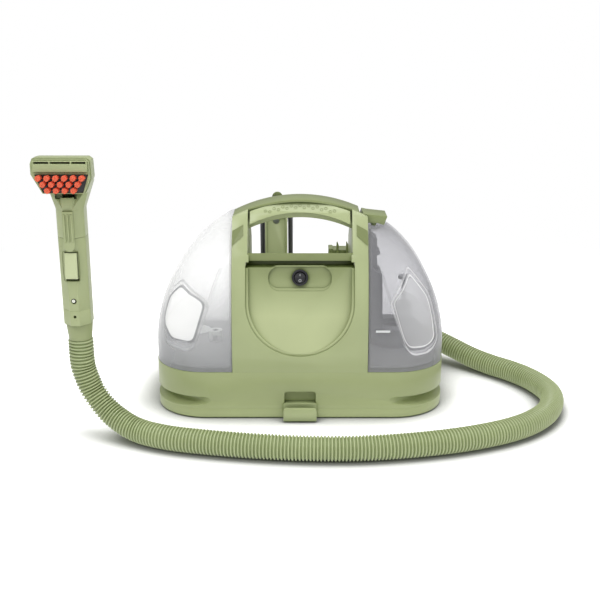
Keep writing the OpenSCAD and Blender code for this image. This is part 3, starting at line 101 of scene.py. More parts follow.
def tube_along(route, profile, sides, side):
    """Spins a profile of (share of the length, radius) and lays it along the route."""
    bm = bmesh.new()
    wire = [bm.verts.new((0, radius, k)) for k, (share, radius) in enumerate(profile)]
    edges = [bm.edges.new(pair) for pair in zip(wire, wire[1:])]
    bmesh.ops.spin(bm, geom=wire + edges, cent=(0, 0, 0), axis=(0, 0, 1), angle=math.tau,
                   steps=sides, use_merge=True)
    places = route.places([share for share, radius in profile], side)
    for vert in bm.verts:
        centre, across, up = places[round(vert.co.z)]
        vert.co = centre + across * vert.co.x + up * vert.co.y
    bmesh.ops.recalc_face_normals(bm, faces=bm.faces)
    return bm


def piece(name, bm, finish, body, *stands_for, slot=None, crease=35):
    """Makes the bmesh a piece that rides on a body; edges sharper than crease stay sharp."""
    limit = math.radians(crease)
    for face in bm.faces:
        face.smooth = True
    for edge in bm.edges:
        edge.smooth = len(edge.link_faces) == 2 and edge.calc_face_angle(0) < limit
    mesh = bpy.data.meshes.new(name)
    bm.to_mesh(mesh)
    bm.free()
    mesh.materials.append(finish)
    made = bpy.data.objects.new(name, mesh)
    bpy.context.scene.collection.objects.link(made)
    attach(made, body)
    if stands_for:
        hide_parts(*stands_for)
    return made


def rounded(node, radius, segments=2, crease=30):
    """A copy of a node's solid with its triangles merged and its sharp edges rounded."""
    bm = bmesh.new()
    bm.from_mesh(solids[node].data)
    bmesh.ops.remove_doubles(bm, verts=bm.verts, dist=mm(0.02))
    bmesh.ops.dissolve_limit(bm, angle_limit=math.radians(0.6), verts=bm.verts, edges=bm.edges)
    limit = math.radians(crease)
    sharp = [edge for edge in bm.edges
             if len(edge.link_faces) == 2 and edge.calc_face_angle(0) > limit]
    bmesh.ops.bevel(bm, geom=sharp, offset=radius, offset_type="OFFSET", affect="EDGES",
                    segments=segments, profile=0.5, material=-1, clamp_overlap=True)
    return bm


def dressed(name, node, radius, finish, slot, body="base", segments=2):
    """A piece that is its node's solid with rounded edges, for a radius in millimetres."""
    return piece(name, rounded(node, mm(radius), segments), finish, body, node, slot=slot)


class Shade:
    """A value in a material's node tree; operators on it add their Math nodes."""

    def __init__(self, tree, socket=None):
        self.tree = tree
        self.socket = socket

    def node(self, kind, settings=None, sockets=None, out=0):
        made = self.tree.nodes.new("ShaderNode" + kind)
        for key, value in (settings or {}).items():
            setattr(made, key, value)
        for key, value in (sockets or {}).items():
            if isinstance(value, Shade):
                self.tree.links.new(value.socket, made.inputs[key])
            else:
                made.inputs[key].default_value = value
        return Shade(self.tree, made.outputs[out] if len(made.outputs) else None)

    def maths(self, operation, *values):
        return self.node("Math", {"operation": operation}, dict(enumerate((self, *values))))

    def __add__(self, other):
        return self.maths("ADD", other)

    __radd__ = __add__

    def __sub__(self, other):
        return self.maths("SUBTRACT", other)

    def __rsub__(self, other):
        return self.maths("MULTIPLY", -1) + other

    def __mul__(self, other):
        return self.maths("MULTIPLY", other)

    __rmul__ = __mul__

    def clipped(self, low, high, start=0.0, end=1.0):
        """This value from low to high as start to end."""
        return self.node("MapRange", {}, {"Value": self, "From Min": low, "From Max": high,
                                          "To Min": start, "To Max": end})

    def mix(self, one, other):
        """Colour one where this value is 0, and other where it is 1."""
        return self.node("Mix", {"data_type": "RGBA"}, {"Factor": self, 6: one, 7: other}, out=2)


def paint(red, green, blue, shade=1.0):
    """A colour of 0 to 255 as a shader's linear values."""
    linear = [((v / 255 + 0.055) / 1.055)**2.4 if v > 10 else v / 3295 for v in (red, green, blue)]
    return (*[min(1, v * shade) for v in linear], 1)


def moulding(name, colour, rough=0.32, grain=0.05, speck=0.04, shade_reach=0.012, deep=0.22, upward_shade=None,
             alone=False, metal=0.0):
    """Injection moulded plastic, or metal, with a fine grain and faint flow marks. Painted shade
    darkens its tone where ambient occlusion finds surfaces near, made by other pieces too unless
    alone; given a (low, high, share) span of height, painted shade also darkens it upwards."""
    finish = bpy.data.materials.new(name)
    finish.use_nodes = True
    tree = finish.node_tree
    tree.nodes.clear()
    shade = Shade(tree)
    spot = shade.node("TexCoord", out="Object")
    flow = shade.node("TexNoise", {}, {"Vector": spot, "Scale": 14.0, "Detail": 3.0})
    pits = shade.node("TexNoise", {}, {"Vector": spot, "Scale": 1500.0, "Detail": 1.0})
    base = flow.clipped(0.3, 0.7).mix(paint(*colour, 1 - speck), paint(*colour, 1 + speck))
    # the tone of painted shade, a darker and deeper hue of the colour
    painted_shade = paint(*[v * (v / max(colour))**2 for v in colour], deep)
    # painted shade that darkens the tone upwards over a span of height
    if upward_shade:
        height = shade.node("SeparateXYZ", {}, {"Vector": spot}, out=2)
        base = height.clipped(upward_shade[0], upward_shade[1], 0, upward_shade[2]).mix(base, painted_shade)
    # painted shade where ambient occlusion finds surfaces near
    if shade_reach:
        open_air = shade.node("AmbientOcclusion", {"samples": 8, "only_local": alone},
                              {"Distance": shade_reach}, out=1)
        base = open_air.clipped(0.15, 0.95).mix(painted_shade, base)
    bump = shade.node("Bump", {}, {"Height": pits, "Strength": grain, "Distance": 0.0004})
    gloss = (flow - 0.5) * 0.14 + pits * 0.06 + (rough - 0.03)
    shell = shade.node("BsdfPrincipled", {}, {"Base Color": base, "Roughness": gloss,
                                              "Normal": bump, "Metallic": metal})
    shade.node("OutputMaterial", {}, {"Surface": shell})
    return finish


UPWARDS = Vector((0, 0, 1))
HOSE_R, RIB_DEEP, RIBS, HOSE_STEPS = mm(14.5), 2.2, 260, 500
RIB_SHAPE = [(0.04, -RIB_DEEP), (0.2, -1.9), (0.3, -0.6), (0.42, 0), (0.66, 0), (0.78, -0.6),
             (0.9, -1.9)]
HOSE_GREEN, CUFF_GREEN = (176, 187, 140), (158, 168, 120)
hose_points = [mm(*point) for point in (
    (108, 124, 42), (120, 124, 42), (134, 124, 42), (152, 122, 40.5), (174, 116, 37),
    (196, 105.5, 31.5), (218, 89, 25), (242, 68, 18), (266, 46, 14.5), (288, 22, 14.5),
    (306, -4, 14.5), (318, -34, 14.5), (322, -62, 14.5), (316, -92, 14.5), (300, -124, 14.5),
    (272, -154, 14.5), (234, -178, 14.5), (184, -198, 14.5), (128, -212, 14.5), (68, -220, 14.5),
    (8, -220, 14.5), (-52, -214, 14.5), (-108, -204, 14.5), (-156, -191, 14.5), (-194, -173, 17),
    (-224, -158, 31), (-244, -150, 54), (-254, -148, 80), (-256, -148, 97), (-256, -148, 109),
    (-256, -148, 121))]
hose_route = Route(hose_points, 24)
ribs = [((rib + at) / RIBS, HOSE_R + mm(deep)) for rib in range(RIBS) for at, deep in RIB_SHAPE]
hose_profile = [(0, HOSE_R - mm(RIB_DEEP)), *ribs, (1, HOSE_R - mm(RIB_DEEP))]
hose_vinyl = moulding("hose_vinyl", HOSE_GREEN, rough=0.3, grain=0.02, shade_reach=0.004, deep=0.3)
cuff = dressed("tool_cuff", "hose_cuff", 0.6, moulding("cuff_abs", CUFF_GREEN), "olive_green")
hose = piece("suction_hose", tube_along(hose_route, hose_profile, 24, UPWARDS), hose_vinyl, "base",
             "hose", slot="body_green", crease=60)
mm(108, 124, 42)
hose_route.centres(HOSE_STEPS, UPWARDS)

# ---- Power cord ----
# Two-core lead in black vinyl, wound in nine turns round the two hooks at the back. It leaves the
# rear shell through a strain relief, and the plug hangs from the last turn.
SIDEWAYS = Vector((1, 0, 0))
CORD_R, CORD_STEPS = mm(3.1), 1400
WRAP_X, LOOP_R, COIL_Y, PITCH, TURNS, TURN_STEPS = -32, 18.9, 65.7, 6.8, 9, 24
GLAND_Z, HOOK_LOW, HOOK_HIGH = 73, 98, 217


def turn(step):
    """One turn round both hooks as (x, z) from the wrap's middle, in 24 steps."""
    k = step % TURN_STEPS
    rise = HOOK_HIGH - HOOK_LOW
    if k < 2:
        return -LOOP_R, HOOK_LOW + rise * (k + 0.5) / 2
    if k < 12:
        angle = math.pi * (1 - (k - 1.5) / 10)
        return LOOP_R * math.cos(angle), HOOK_HIGH + LOOP_R * math.sin(angle)
    if k < 14:
        return LOOP_R, HOOK_HIGH - rise * (k - 11.5) / 2
    angle = -math.pi * (k - 13.5) / 10
    return LOOP_R * math.cos(angle), HOOK_LOW + LOOP_R * math.sin(angle)


coil = [(WRAP_X + turn(i)[0], COIL_Y + PITCH * i / TURN_STEPS, turn(i)[1])
        for i in range(TURNS * TURN_STEPS - 11)]
drop_x, drop_y = WRAP_X + LOOP_R, coil[-1][1]
cord_points = [mm(*point) for point in (
    (WRAP_X - LOOP_R, COIL_Y, GLAND_Z), (WRAP_X - LOOP_R, COIL_Y, HOOK_LOW + 2), *coil,
    (drop_x, drop_y, HOOK_LOW + 8), (drop_x, drop_y + 4, HOOK_LOW - 6),
    (drop_x, drop_y + 7, HOOK_LOW - 22), (drop_x, drop_y + 7, HOOK_LOW - 30))]
cord_route = Route(cord_points, 4)
cord_vinyl = moulding("cord_vinyl", (96, 96, 102), rough=0.3, grain=0.02)
plug = dressed("mains_plug", "power_plug", 1.0, cord_vinyl, "black_plastic", segments=3)
cord_profile = [(k / CORD_STEPS, CORD_R) for k in range(CORD_STEPS + 1)]
cord = piece("power_lead", tube_along(cord_route, cord_profile, 12, SIDEWAYS), cord_vinyl, "base",
             "power_cord", slot="cord_black", crease=60)
mm(WRAP_X - LOOP_R, COIL_Y, GLAND_Z)
cord_route.centres(CORD_STEPS, SIDEWAYS)


# ---- Base ----
# Two green ABS mouldings, a pan and a shell, held by six screws from below. The waist between
# them is the channel that the stored hose lies in; a sprung hook at the front keeps it there.
def finished(finish, *nodes):
    """Gives solids that are already right in form their material."""
    for node in nodes:
        solids[node].data.materials.clear()
        solids[node].data.materials.append(finish)


BODY_GREEN = (172, 182, 135)
body_plastic = moulding("green_abs", BODY_GREEN)
base_plastic = moulding("base_abs", (166, 176, 127), shade_reach=0.004, deep=0.45)
rubber = moulding("rubber", (58, 58, 60), rough=0.7, grain=0.2, shade_reach=0)
steel = moulding("zinc_steel", (176, 180, 182), rough=0.3, grain=0.04, shade_reach=0, metal=1.0)
dressed("base_lower_pan", "base_pan", 0.8, base_plastic, "base_green")
dressed("base_upper_shell", "base_shell", 0.8, base_plastic, "base_green")
dressed("front_hose_clip", "hose_clip", 0.8, body_plastic, "base_green")
finished(rubber, "rubber_feet")
finished(steel, "base_screws")

# ---- Centre housing ----
# Front and rear green ABS shells that stand between the tanks and carry the handle. Their pillars
# rise to the dome, and a lip closes the front over the leaning face. A darker sheet on the lip's
# front is painted shade, as that face turns down.
def plates(*sheets):
    """Sheets 0.5 mm thick in y, each through its corners."""
    bm = bmesh.new()
    for corners in sheets:
        front, back = [[bm.verts.new(corner + mm(0, y, 0)) for corner in corners]
                       for y in (-0.3, 0.2)]
        bm.faces.new(front)
        bm.faces.new(back[::-1])
        for k in range(len(corners)):
            bm.faces.new((front[k - 1], front[k], back[k], back[k - 1]))
    bmesh.ops.recalc_face_normals(bm, faces=bm.faces)
    return bm


LIP_X, LIP_TOP, LIP_FOOT = 64.2, (-78.4, 205.6), (-74.6, 195.2)
housing_plastic = moulding("housing_abs", BODY_GREEN, deep=0.3, alone=True)
lip_shade_plastic = moulding("lip_shade_abs", (146, 156, 106), shade_reach=0.005, deep=0.5)
dressed("housing_front", "front_housing", 0.8, housing_plastic, "body_green")
dressed("housing_rear", "rear_housing", 0.8, housing_plastic, "body_green")
# a darker sheet on the lip's front: painted shade where the face turns down
piece("lip_shade_sheet", plates([mm(-LIP_X, *LIP_TOP), mm(LIP_X, *LIP_TOP), mm(LIP_X, *LIP_FOOT),
                           mm(-LIP_X, *LIP_FOOT)]), lip_shade_plastic, "base", slot="body_green")


# ---- Face panel and switch ----
# A paler insert snapped into the front shell, with a shallow pill-shaped well. The switch is a
# bought round rocker in black nylon, pushed in until its two side springs click.
def at(x, y, z):
    """The move to a place in millimetres."""
    return Matrix.Translation(mm(x, y, z))


def tipped(degrees):
    """A turn about x."""
    return Matrix.Rotation(math.radians(degrees), 4, "X")


def add_ring(bm, radius, thick, sides, steps, matrix):
    """Adds a ring that lies flat on z = 0 before the matrix moves it."""
    before = set(bm.verts)
    wire = bmesh.ops.create_circle(bm, segments=sides, radius=mm(thick),
                                   matrix=at(radius, 0, 0) @ tipped(90))["verts"]
    edges = list({edge for vert in wire for edge in vert.link_edges})
    bmesh.ops.spin(bm, geom=wire + edges, cent=(0, 0, 0), axis=(0, 0, 1), angle=math.tau,
                   steps=steps, use_merge=True)
    bmesh.ops.transform(bm, verts=[vert for vert in bm.verts if vert not in before], matrix=matrix)


FACE_Y, FACE_Z, FACE_BACK, FACE_RISE = -103.5, 85, 23.5, 103
SWITCH_Z, ROCK_HALF = 176, 8
SWITCH_Y = FACE_Y + (SWITCH_Z - FACE_Z) * FACE_BACK / FACE_RISE
LEAN = math.degrees(math.atan2(FACE_BACK, FACE_RISE))
MARK_LEAN, MARK_OFF, MARK_BAR, MARK_R, MARK_THICK = 13.7, 3.4, (0.7, 2.6, 0.1), 1.5, 0.32
BAR_UP, RING_UP = 2.08, 1.95
# painted shade on the face: darker towards the lip above, and over a wide reach from surfaces near
face_plastic = moulding("face_abs", (182, 191, 144), shade_reach=0.03, deep=0.25,
                        upward_shade=(0.13, 0.185, 0.55))
nylon = moulding("black_nylon", (34, 34, 38), rough=0.34, grain=0.03)
dressed("leaning_face", "face_panel", 0.5, face_plastic, "pale_green")
dressed("round_bezel", "switch_bezel", 0.4, nylon, "black_plastic")
dressed("round_rocker", "switch_rocker", 0.5, nylon, "black_plastic", body="rocker")
# a bar and a ring, printed for on and off
bm = bmesh.new()
bar = bmesh.ops.create_cube(bm, size=1)["verts"]
bmesh.ops.scale(bm, verts=bar, vec=mm(*MARK_BAR))
bmesh.ops.transform(bm, verts=bar, matrix=at(0, MARK_OFF, BAR_UP) @ tipped(MARK_LEAN))
add_ring(bm, MARK_R, MARK_THICK, 8, 24, at(0, -MARK_OFF, RING_UP) @ tipped(-MARK_LEAN))
bmesh.ops.transform(bm, verts=bm.verts, matrix=at(0, SWITCH_Y, SWITCH_Z) @ tipped(90 - LEAN)
                    @ at(0, 0, -1) @ tipped(ROCK_HALF))
piece("switch_marks", bm, moulding("mark_ink", (190, 192, 192), rough=0.5), "rocker",
      slot="white_plastic")

# ---- Handle ----
# The front shell's arch with a paler insert, on which seventeen small raised rings give grip, and
# an olive cover strip clipped over the top.
FRONT_Y, SIDE_Z, SIDE_R = 105, 80, 300
REFLECTION_BAND, REFLECTION_BAND_PROUD = [(69.2, 237.0), (82.6, 230.2), (82.6, 213.4), (69.2, 224.8)], 0.45
RING_R, RING_THICK, RING_GAP = 1.6, 0.42, 5.3
RING_HIGH, RING_LOW, RING_CURVE, RING_SUNK = 257.8, 255.6, 0.0033, 0.4


def on_front(x, z, inset=0.0):
    """A place on the front as it leans back, and the way out from it."""
    rise = z - SIDE_Z
    reach = math.sqrt((SIDE_R - inset)**2 - rise**2)
    return mm(x, SIDE_R - FRONT_Y - reach, z), Vector((0, -reach, rise)).normalized()


def facing(place, out, axis, up):
    """The move to a place on the front, with an axis turned the way out."""
    return Matrix.Translation(place) @ out.to_track_quat(axis, up).to_matrix().to_4x4()


pale_plastic = moulding("pale_abs", BODY_GREEN)
olive_plastic = moulding("olive_abs", (140, 151, 101))
# dark sheets on the pillars where the arch runs out into them: a painted dark reflection
sheets = [[on_front(side * x, z, -REFLECTION_BAND_PROUD)[0] for x, z in REFLECTION_BAND] for side in (-1, 1)]
piece("pillar_reflection_bands", plates(*sheets), moulding("reflection_band_abs", (124, 134, 86), shade_reach=0), "base",
      slot="body_green")
dressed("grip_insert", "handle_grip", 0.6, pale_plastic, "pale_green")
bm = bmesh.new()
for k in range(-8, 9):
    x = RING_GAP * k
    z = (RING_LOW if k % 2 else RING_HIGH) - RING_CURVE * x**2
    place, out = on_front(x, z, RING_SUNK)
    add_ring(bm, RING_R, RING_THICK, 6, 20, facing(place, out, "Z", "Y"))
# the rings are a darker green than the insert: painted shade round their raised edges
piece("grip_rings", bm, moulding("grip_ring_shade_abs", CUFF_GREEN), "base", slot="pale_green")
dressed("handle_strip", "handle_top", 0.6, olive_plastic, "olive_green")
dressed("sprung_latch", "tank_latch", 0.5, olive_plastic, "olive_green", body="latch")
finished(steel, "latch_pin", "latch_spring")

# ---- Clean water tank ----
# Blown and trimmed in clear polypropylene that has gone a little milky. It lifts straight up off
# its valve; a finger pocket is pressed into its front and back, and it fills through a cap below.
SPRING_Z, DOME_R = 82, 183
TANK_X, TANK_Z, TANK_T, TANK_TOP, CORNER_R, SKIN_IN = 83.8, 61.3, 2.4, 238.2, 66, 0.6
FLOOR_T, ROOF_T, ROWS_BELOW, ROWS_ABOVE = 5, 3.4, 14, 100
POCKET_X, POCKET_Y, POCKET_TURN, POCKET_EDGE = 115, 91, math.radians(16), 6
POCKET_ALONG = Vector((math.cos(POCKET_TURN), math.sin(POCKET_TURN)))
CLEAN_POCKET = [(36, 168), (2, 151), (-4, 142), (9, 106), (13, 93), (19, 89), (50, 93), (62, 120),
                (56, 150)]


def tank_ring(z, inset, x0, count):
    """Even points of a tank's outline at height z, from its inner front edge to its inner back."""
    above, over = max(z - SPRING_Z, 0), max(z - SIDE_Z, 0)
    wide = math.sqrt((DOME_R - inset)**2 - above**2)
    deep = FRONT_Y - SIDE_R + math.sqrt((SIDE_R - inset)**2 - over**2)
    r = min(CORNER_R - inset, deep - SKIN_IN)
    xc, yc = wide - r, deep - r
    swing = math.pi / 2 if xc >= x0 else math.acos((x0 - xc) / r)
    run, bend = max(xc - x0, 0), r * swing
    points = []
    for k in range(count):
        far = (run + bend + yc) * (2 * k / (count - 1) - 1)
        s = abs(far)
        if s <= yc:
            x, y = wide, s
        elif s <= yc + bend:
            angle = (s - yc) / r
            x, y = xc + r * math.cos(angle), yc + r * math.sin(angle)
        else:
            x, y = x0 + run + bend + yc - s, deep
        points.append((x, math.copysign(y, far), z))
    return points


def within(u, z, outline):
    """How far (u, z) lies inside an outline, below zero outside it."""
    here = Vector((u, z))
    inside, near = False, 1e9
    for a, b in zip(outline, outline[1:] + outline[:1]):
        edge, away = b - a, here - a
        share = max(0, min(1, away.dot(edge) / edge.length_squared))
        near = min(near, (away - edge * share).length)
        if (a.y > z) != (b.y > z) and u < a.x + (z - a.y) * edge.x / edge.y:
            inside = not inside
    return near if inside else -near


def sunk(x, y, z, outline, grow):
    """A point of a tank's skin, pressed in where it lies in a finger pocket."""
    away = Vector((x - POCKET_X, -abs(y) + POCKET_Y - grow))
    u = away.dot(POCKET_ALONG)
    depth = -away.x * POCKET_ALONG.y + away.y * POCKET_ALONG.x
    if depth >= 0:
        return x, y, z
    share = max(0, min(1, (within(u, z, outline) + 2 + grow) / POCKET_EDGE))
    share = share * share * (3 - 2 * share)
    x += share * depth * POCKET_ALONG.y
    y = math.copysign(abs(y) + share * depth * POCKET_ALONG.x, y)
    return x, y, z


def tank_skin(bm, outline, inset, x0, low, high, count=250):
    """Adds the closed skin of a tank, drawn in by inset, as a fine grid wrapped round it."""
    top = math.asin((high - SPRING_Z) / (DOME_R - inset))
    levels = [low + (SPRING_Z - low) * k / ROWS_BELOW for k in range(ROWS_BELOW)]
    levels += [SPRING_Z + (DOME_R - inset) * math.sin(top * k / ROWS_ABOVE)
               for k in range(ROWS_ABOVE + 1)]
    rows = [tank_ring(z, inset, x0, count) for z in levels]
    last = len(rows) - 1
    grid = bmesh.ops.create_grid(bm, x_segments=count, y_segments=last, size=0.5)["verts"]
    for vert in grid:
        row = rows[round((vert.co.y + 0.5) * last)]
        point = row[round((vert.co.x + 0.5) * count) % count]
        vert.co = mm(*sunk(*point, outline, inset - SKIN_IN))
    bmesh.ops.remove_doubles(bm, verts=grid, dist=mm(0.01))
    bmesh.ops.holes_fill(bm, edges=[edge for edge in bm.edges if edge.is_boundary], sides=0)


def clear(name, outline, tint, haze, low_tone, frost, edge, cover, low_cover, glow):
    """See-through plastic under a haze. Towards the foot and beside the housing it grows more
    opaque and takes the low tone, which on the milky tank is painted shade, and a painted glow
    lights its skin a little. The floor of the front pocket is frosted, and its rim shows as a
    painted line in
    the edge colour: painted shade where that is grey, and a painted highlight where it is near
    white."""
    finish = bpy.data.materials.new(name)
    finish.use_nodes = True
    tree = finish.node_tree
    tree.nodes.clear()
    shade = Shade(tree)
    spot = shade.node("TexCoord", out="Object")
    across, along, height = [shade.node("SeparateXYZ", {}, {"Vector": spot}, out=k)
                             for k in range(3)]
    ahead = along * -1
    across, along = across.maths("ABSOLUTE"), along.maths("ABSOLUTE")
    u = ((across - mm(POCKET_X)) * math.cos(POCKET_TURN)
         - (along - mm(POCKET_Y)) * math.sin(POCKET_TURN))
    deep = None
    for (ua, za), (ub, zb) in zip(outline, outline[1:] + outline[:1]):
        run, rise = ub - ua, zb - za
        size = math.hypot(run, rise)
        off = (height - mm(za)) * (run / size) - (u - mm(ua)) * (rise / size)
        deep = deep.maths("SMOOTH_MIN", off, 0.008) if deep else off
    outside = ahead.clipped(0.06, 0.062)
    pocket = deep.clipped(0.0045, 0.0052) * outside
    # a painted line along the pocket's rim and the foot of its slope, in the edge colour
    painted_rim_line = ((deep - 0.0036).maths("ABSOLUTE").clipped(0.0006, 0.0011, 1, 0)
                + (deep + 0.0012).maths("ABSOLUTE").clipped(0.0005, 0.001, 0.7, 0)) * outside
    # painted shade on the milky tank: tone and cover change towards the housing and towards the
    # foot
    inboard = across.clipped(0.084, 0.1, 0.55, 1)
    flow = shade.node("TexNoise", {}, {"Vector": spot, "Scale": 9.0, "Detail": 2.0})
    rim = shade.node("LayerWeight", {}, {"Blend": 0.5}, out=1).maths("POWER", 3.5)
    clean = height.clipped(0.062, 0.17) * inboard
    share = (clean.clipped(0, 1, low_cover, cover) + rim * 0.6 + (flow - 0.5) * (cover * 0.3)
             + pocket * 0.35 + painted_rim_line * 0.55).clipped(0, 1)
    through = shade.node("BsdfTransparent", {}, {"Color": paint(*tint)})
    tone = pocket.mix(clean.mix(paint(*low_tone), paint(*haze)), paint(*frost))
    tone = painted_rim_line.mix(tone, paint(*edge))
    # painted glow: the skin gives off light in its own tone though it is no lamp
    skin = shade.node("BsdfPrincipled", {}, {"Base Color": tone, "Roughness": flow * 0.1 + 0.12,
                                             "Emission Color": tone, "Emission Strength": glow})
    both = shade.node("MixShader", {}, {0: share, 1: through, 2: skin})
    shade.node("OutputMaterial", {}, {"Surface": both})
    return finish


def tank(outline):
    """Outer and inner skin of a tank, with its finger pockets pressed in."""
    corners = [Vector(corner) for corner in outline]
    outer, inner = bmesh.new(), bmesh.new()
    tank_skin(outer, corners, SKIN_IN, TANK_X, TANK_Z, TANK_TOP)
    tank_skin(inner, corners, SKIN_IN + TANK_T, TANK_X + TANK_T, TANK_Z + FLOOR_T,
              TANK_TOP - ROOF_T, count=220)
    bmesh.ops.recalc_face_normals(outer, faces=outer.faces)
    bmesh.ops.recalc_face_normals(inner, faces=inner.faces)
    return outer, inner


def hollow(outer, inner):
    """The outer skin with the inner one added inside out, as the wall of a hollow."""
    bmesh.ops.reverse_faces(inner, faces=inner.faces)
    mesh = bpy.data.meshes.new("inner")
    inner.to_mesh(mesh)
    inner.free()
    outer.from_mesh(mesh)
    bpy.data.meshes.remove(mesh)
    return outer


# its grey low tone is painted shade towards the foot and by the housing, its grey edge colour a
# painted shade line round the pocket
milky = clear("milky_clear", CLEAN_POCKET, tint=(254, 254, 254), haze=(254, 254, 254),
              low_tone=(162, 163, 166), frost=(255, 255, 255), edge=(150, 151, 153),
              cover=0.14, low_cover=0.48, glow=0.17)
shell = hollow(*tank(CLEAN_POCKET))
bmesh.ops.scale(shell, verts=shell.verts, vec=(-1, 1, 1))
bmesh.ops.reverse_faces(shell, faces=shell.faces)
piece("clean_tank_shell", shell, milky, "clean_tank", "clean_tank", slot="clear_tank", crease=50)
white_plastic = moulding("white_pp", (226, 228, 228), rough=0.4)
finished(white_plastic, "clean_cap", "valve_collar", "valve_poppet")
finished(rubber, "clean_cap_seal")
finished(steel, "valve_spring")
finished(body_plastic, "valve_seat")

# ---- Recovery tank ----
# Smoke tinted polycarbonate over a grey separator: dirty water and air rise through the pedestal,
# the air leaves by the tower, and a float shuts the tower's mouth. It slides out sideways once the
# latch is lifted out of the notch in its top edge.
DIRT_POCKET = [(24, 184), (-5, 147), (12, 93), (20, 83), (46, 83), (58, 95), (50, 150)]
NOTCH_LOW, NOTCH_HIGH = (TANK_X - 5, -44, 227), (TANK_X + 60, -5, 260)
FULL_X, FULL_Z, FULL_SIZE = 101, 113.4, (17.5, 0.5, 2.8)


def block(low, high, edge, segments):
    """A block between two corners, with its edges rounded."""
    bm = bmesh.new()
    bmesh.ops.create_cube(bm, size=1)
    bmesh.ops.scale(bm, verts=bm.verts, vec=high - low)
    bmesh.ops.translate(bm, verts=bm.verts, vec=(high + low) / 2)
    bmesh.ops.bevel(bm, geom=bm.edges[:], offset=mm(edge), offset_type="OFFSET", affect="EDGES",
                    segments=segments, profile=0.5, material=-1)
    return bm


def carved(bm, cutter):
    """Cuts one bmesh out of another."""
    things = []
    for name, form in (("solid", bm), ("cutter", cutter)):
        mesh = bpy.data.meshes.new(name)
        form.to_mesh(mesh)
        form.free()
        things.append(bpy.data.objects.new(name, mesh))
        bpy.context.scene.collection.objects.link(things[-1])
    cut = things[0].modifiers.new("cut", "BOOLEAN")
    cut.operation, cut.solver, cut.object = "DIFFERENCE", "EXACT", things[1]
    bpy.context.view_layer.update()
    result = bmesh.new()
    result.from_object(things[0], bpy.context.evaluated_depsgraph_get())
    for thing in things:
        bpy.data.objects.remove(thing)
    return result


def notched(skin, wall, edge):
    """A skin of the tank with the latch's notch cut out, larger all round by a wall."""
    low, high = mm(*NOTCH_LOW) - mm(0, wall, wall), mm(*NOTCH_HIGH) + mm(0, wall, 0)
    return carved(skin, block(low, high, edge, 3))


# its near white edge colour is a painted highlight line round the pocket
smoke = clear("smoke_tint", DIRT_POCKET, tint=(244, 244, 245), haze=(196, 196, 199),
              low_tone=(200, 200, 203), frost=(214, 214, 216), edge=(240, 240, 240),
              cover=0.14, low_cover=0.32, glow=0.03)
outer, inner = tank(DIRT_POCKET)
piece("recovery_tank_shell", hollow(notched(outer, 0, 1.0), notched(inner, TANK_T, 1.5)), smoke,
      "recovery_tank", "recovery_tank", slot="smoke_tank", crease=50)
finished(moulding("grey_pp", (132, 133, 135), rough=0.45), "separator_base", "separator_tower")
finished(moulding("pale_grey_pp", (196, 197, 199), rough=0.45, shade_reach=0.004), "float_guide")
finished(white_plastic, "float")
finished(rubber, "intake_seal", "port_seal")
# a plain bar for the highest level of dirty water
bm = block(-mm(*FULL_SIZE) / 2, mm(*FULL_SIZE) / 2, 0.2, 2)
place, out = on_front(FULL_X, FULL_Z, 0.5)
bmesh.ops.transform(bm, verts=bm.verts, matrix=facing(place, -out, "Y", "Z"))
piece("full_mark", bm, white_plastic, "recovery_tank", slot="white_plastic")

# ---- Motor, fan, pump and ducts ----
# The working parts under the housing. The motor stands on a rubber ring and drives the fan; the
# ducts bring it the air from the recovery tank and carry the dirty water up into it.
dark_plastic = moulding("dark_pp", (72, 73, 77), rough=0.45)
tube_plastic = moulding("clear_tube", (214, 214, 206), rough=0.3)
finished(dark_plastic, "suction_duct", "air_duct", "motor_case", "fan_cover", "pump")
finished(rubber, "motor_mount")
finished(steel, "motor_rotor")
finished(white_plastic, "fan_wheel")
finished(tube_plastic, "pump_inlet", "pump_outlet", "spray_line")

# ---- Rear fittings ----
# What is screwed or clipped to the back: the rest for the spray tool, the post with the two cord
# hooks, and the elbow that turns the hose along the back wall.
# paler than the green the post is moulded in: painted light that lifts the post out of the shade of
# the handle and housing; the trigger takes the same tone
lit_post_plastic = moulding("lit_post_abs", (204, 213, 168))
dressed("tool_bracket", "tool_rest", 0.7, olive_plastic, "olive_green")
dressed("cord_post", "wrap_post", 0.8, lit_post_plastic, "body_green")
dressed("turning_hook", "wrap_hook", 0.8, olive_plastic, "olive_green", body="wrap_hook")
dressed("hose_swivel", "hose_elbow", 0.7, olive_plastic, "olive_green")
finished(steel, "wrap_screw")
finished(nylon, "strain_relief")

# ---- Spray tool ----
# Suction wand of two green ABS halves with a trigger between them. The head slides off when its
# pale tab is pulled; it carries the lip with three slots and a dark block of nylon tufts.
WAND_X, WAND_Y, HEAD_TOP = -256, -148, 335
LINE_HALF, LINE_LOW, LINE_HIGH, LINE_BEND, LINE_THICK = 8.8, 195.4, 229.8, 3.2, 0.4
LINE_Y, LINE_STEPS = WAND_Y - 20, 80
EYELET, EYELET_R = (WAND_X - 0.4, WAND_Y - 19.4, 171.8), 1.9
TUFT_X, TUFT_Y, TUFT_Z = WAND_X - 25.4, WAND_Y - 34, HEAD_TOP - 20.9
TUFT_GAP, ROW_IN, ROW_DROP = 9.4, 4.6, 6.6
HAIRS, HAIR_LONG, BUNDLE_R, GOLDEN_TURN = 37, 8.2, 2.9, 2.39996
dressed("wand_rear", "wand_body", 0.7, body_plastic, "body_green")
dressed("wand_cover", "wand_front", 0.6, body_plastic, "body_green")
dressed("squeeze_trigger", "trigger", 0.9, lit_post_plastic, "pale_green", body="trigger", segments=3)
finished(steel, "trigger_pin", "trigger_spring")
dressed("tool_nozzle", "nozzle_head", 1.0, body_plastic, "body_green", body="tool_head", segments=3)
dressed("slotted_lip", "nozzle_lip", 0.6, pale_plastic, "pale_green", body="tool_head")
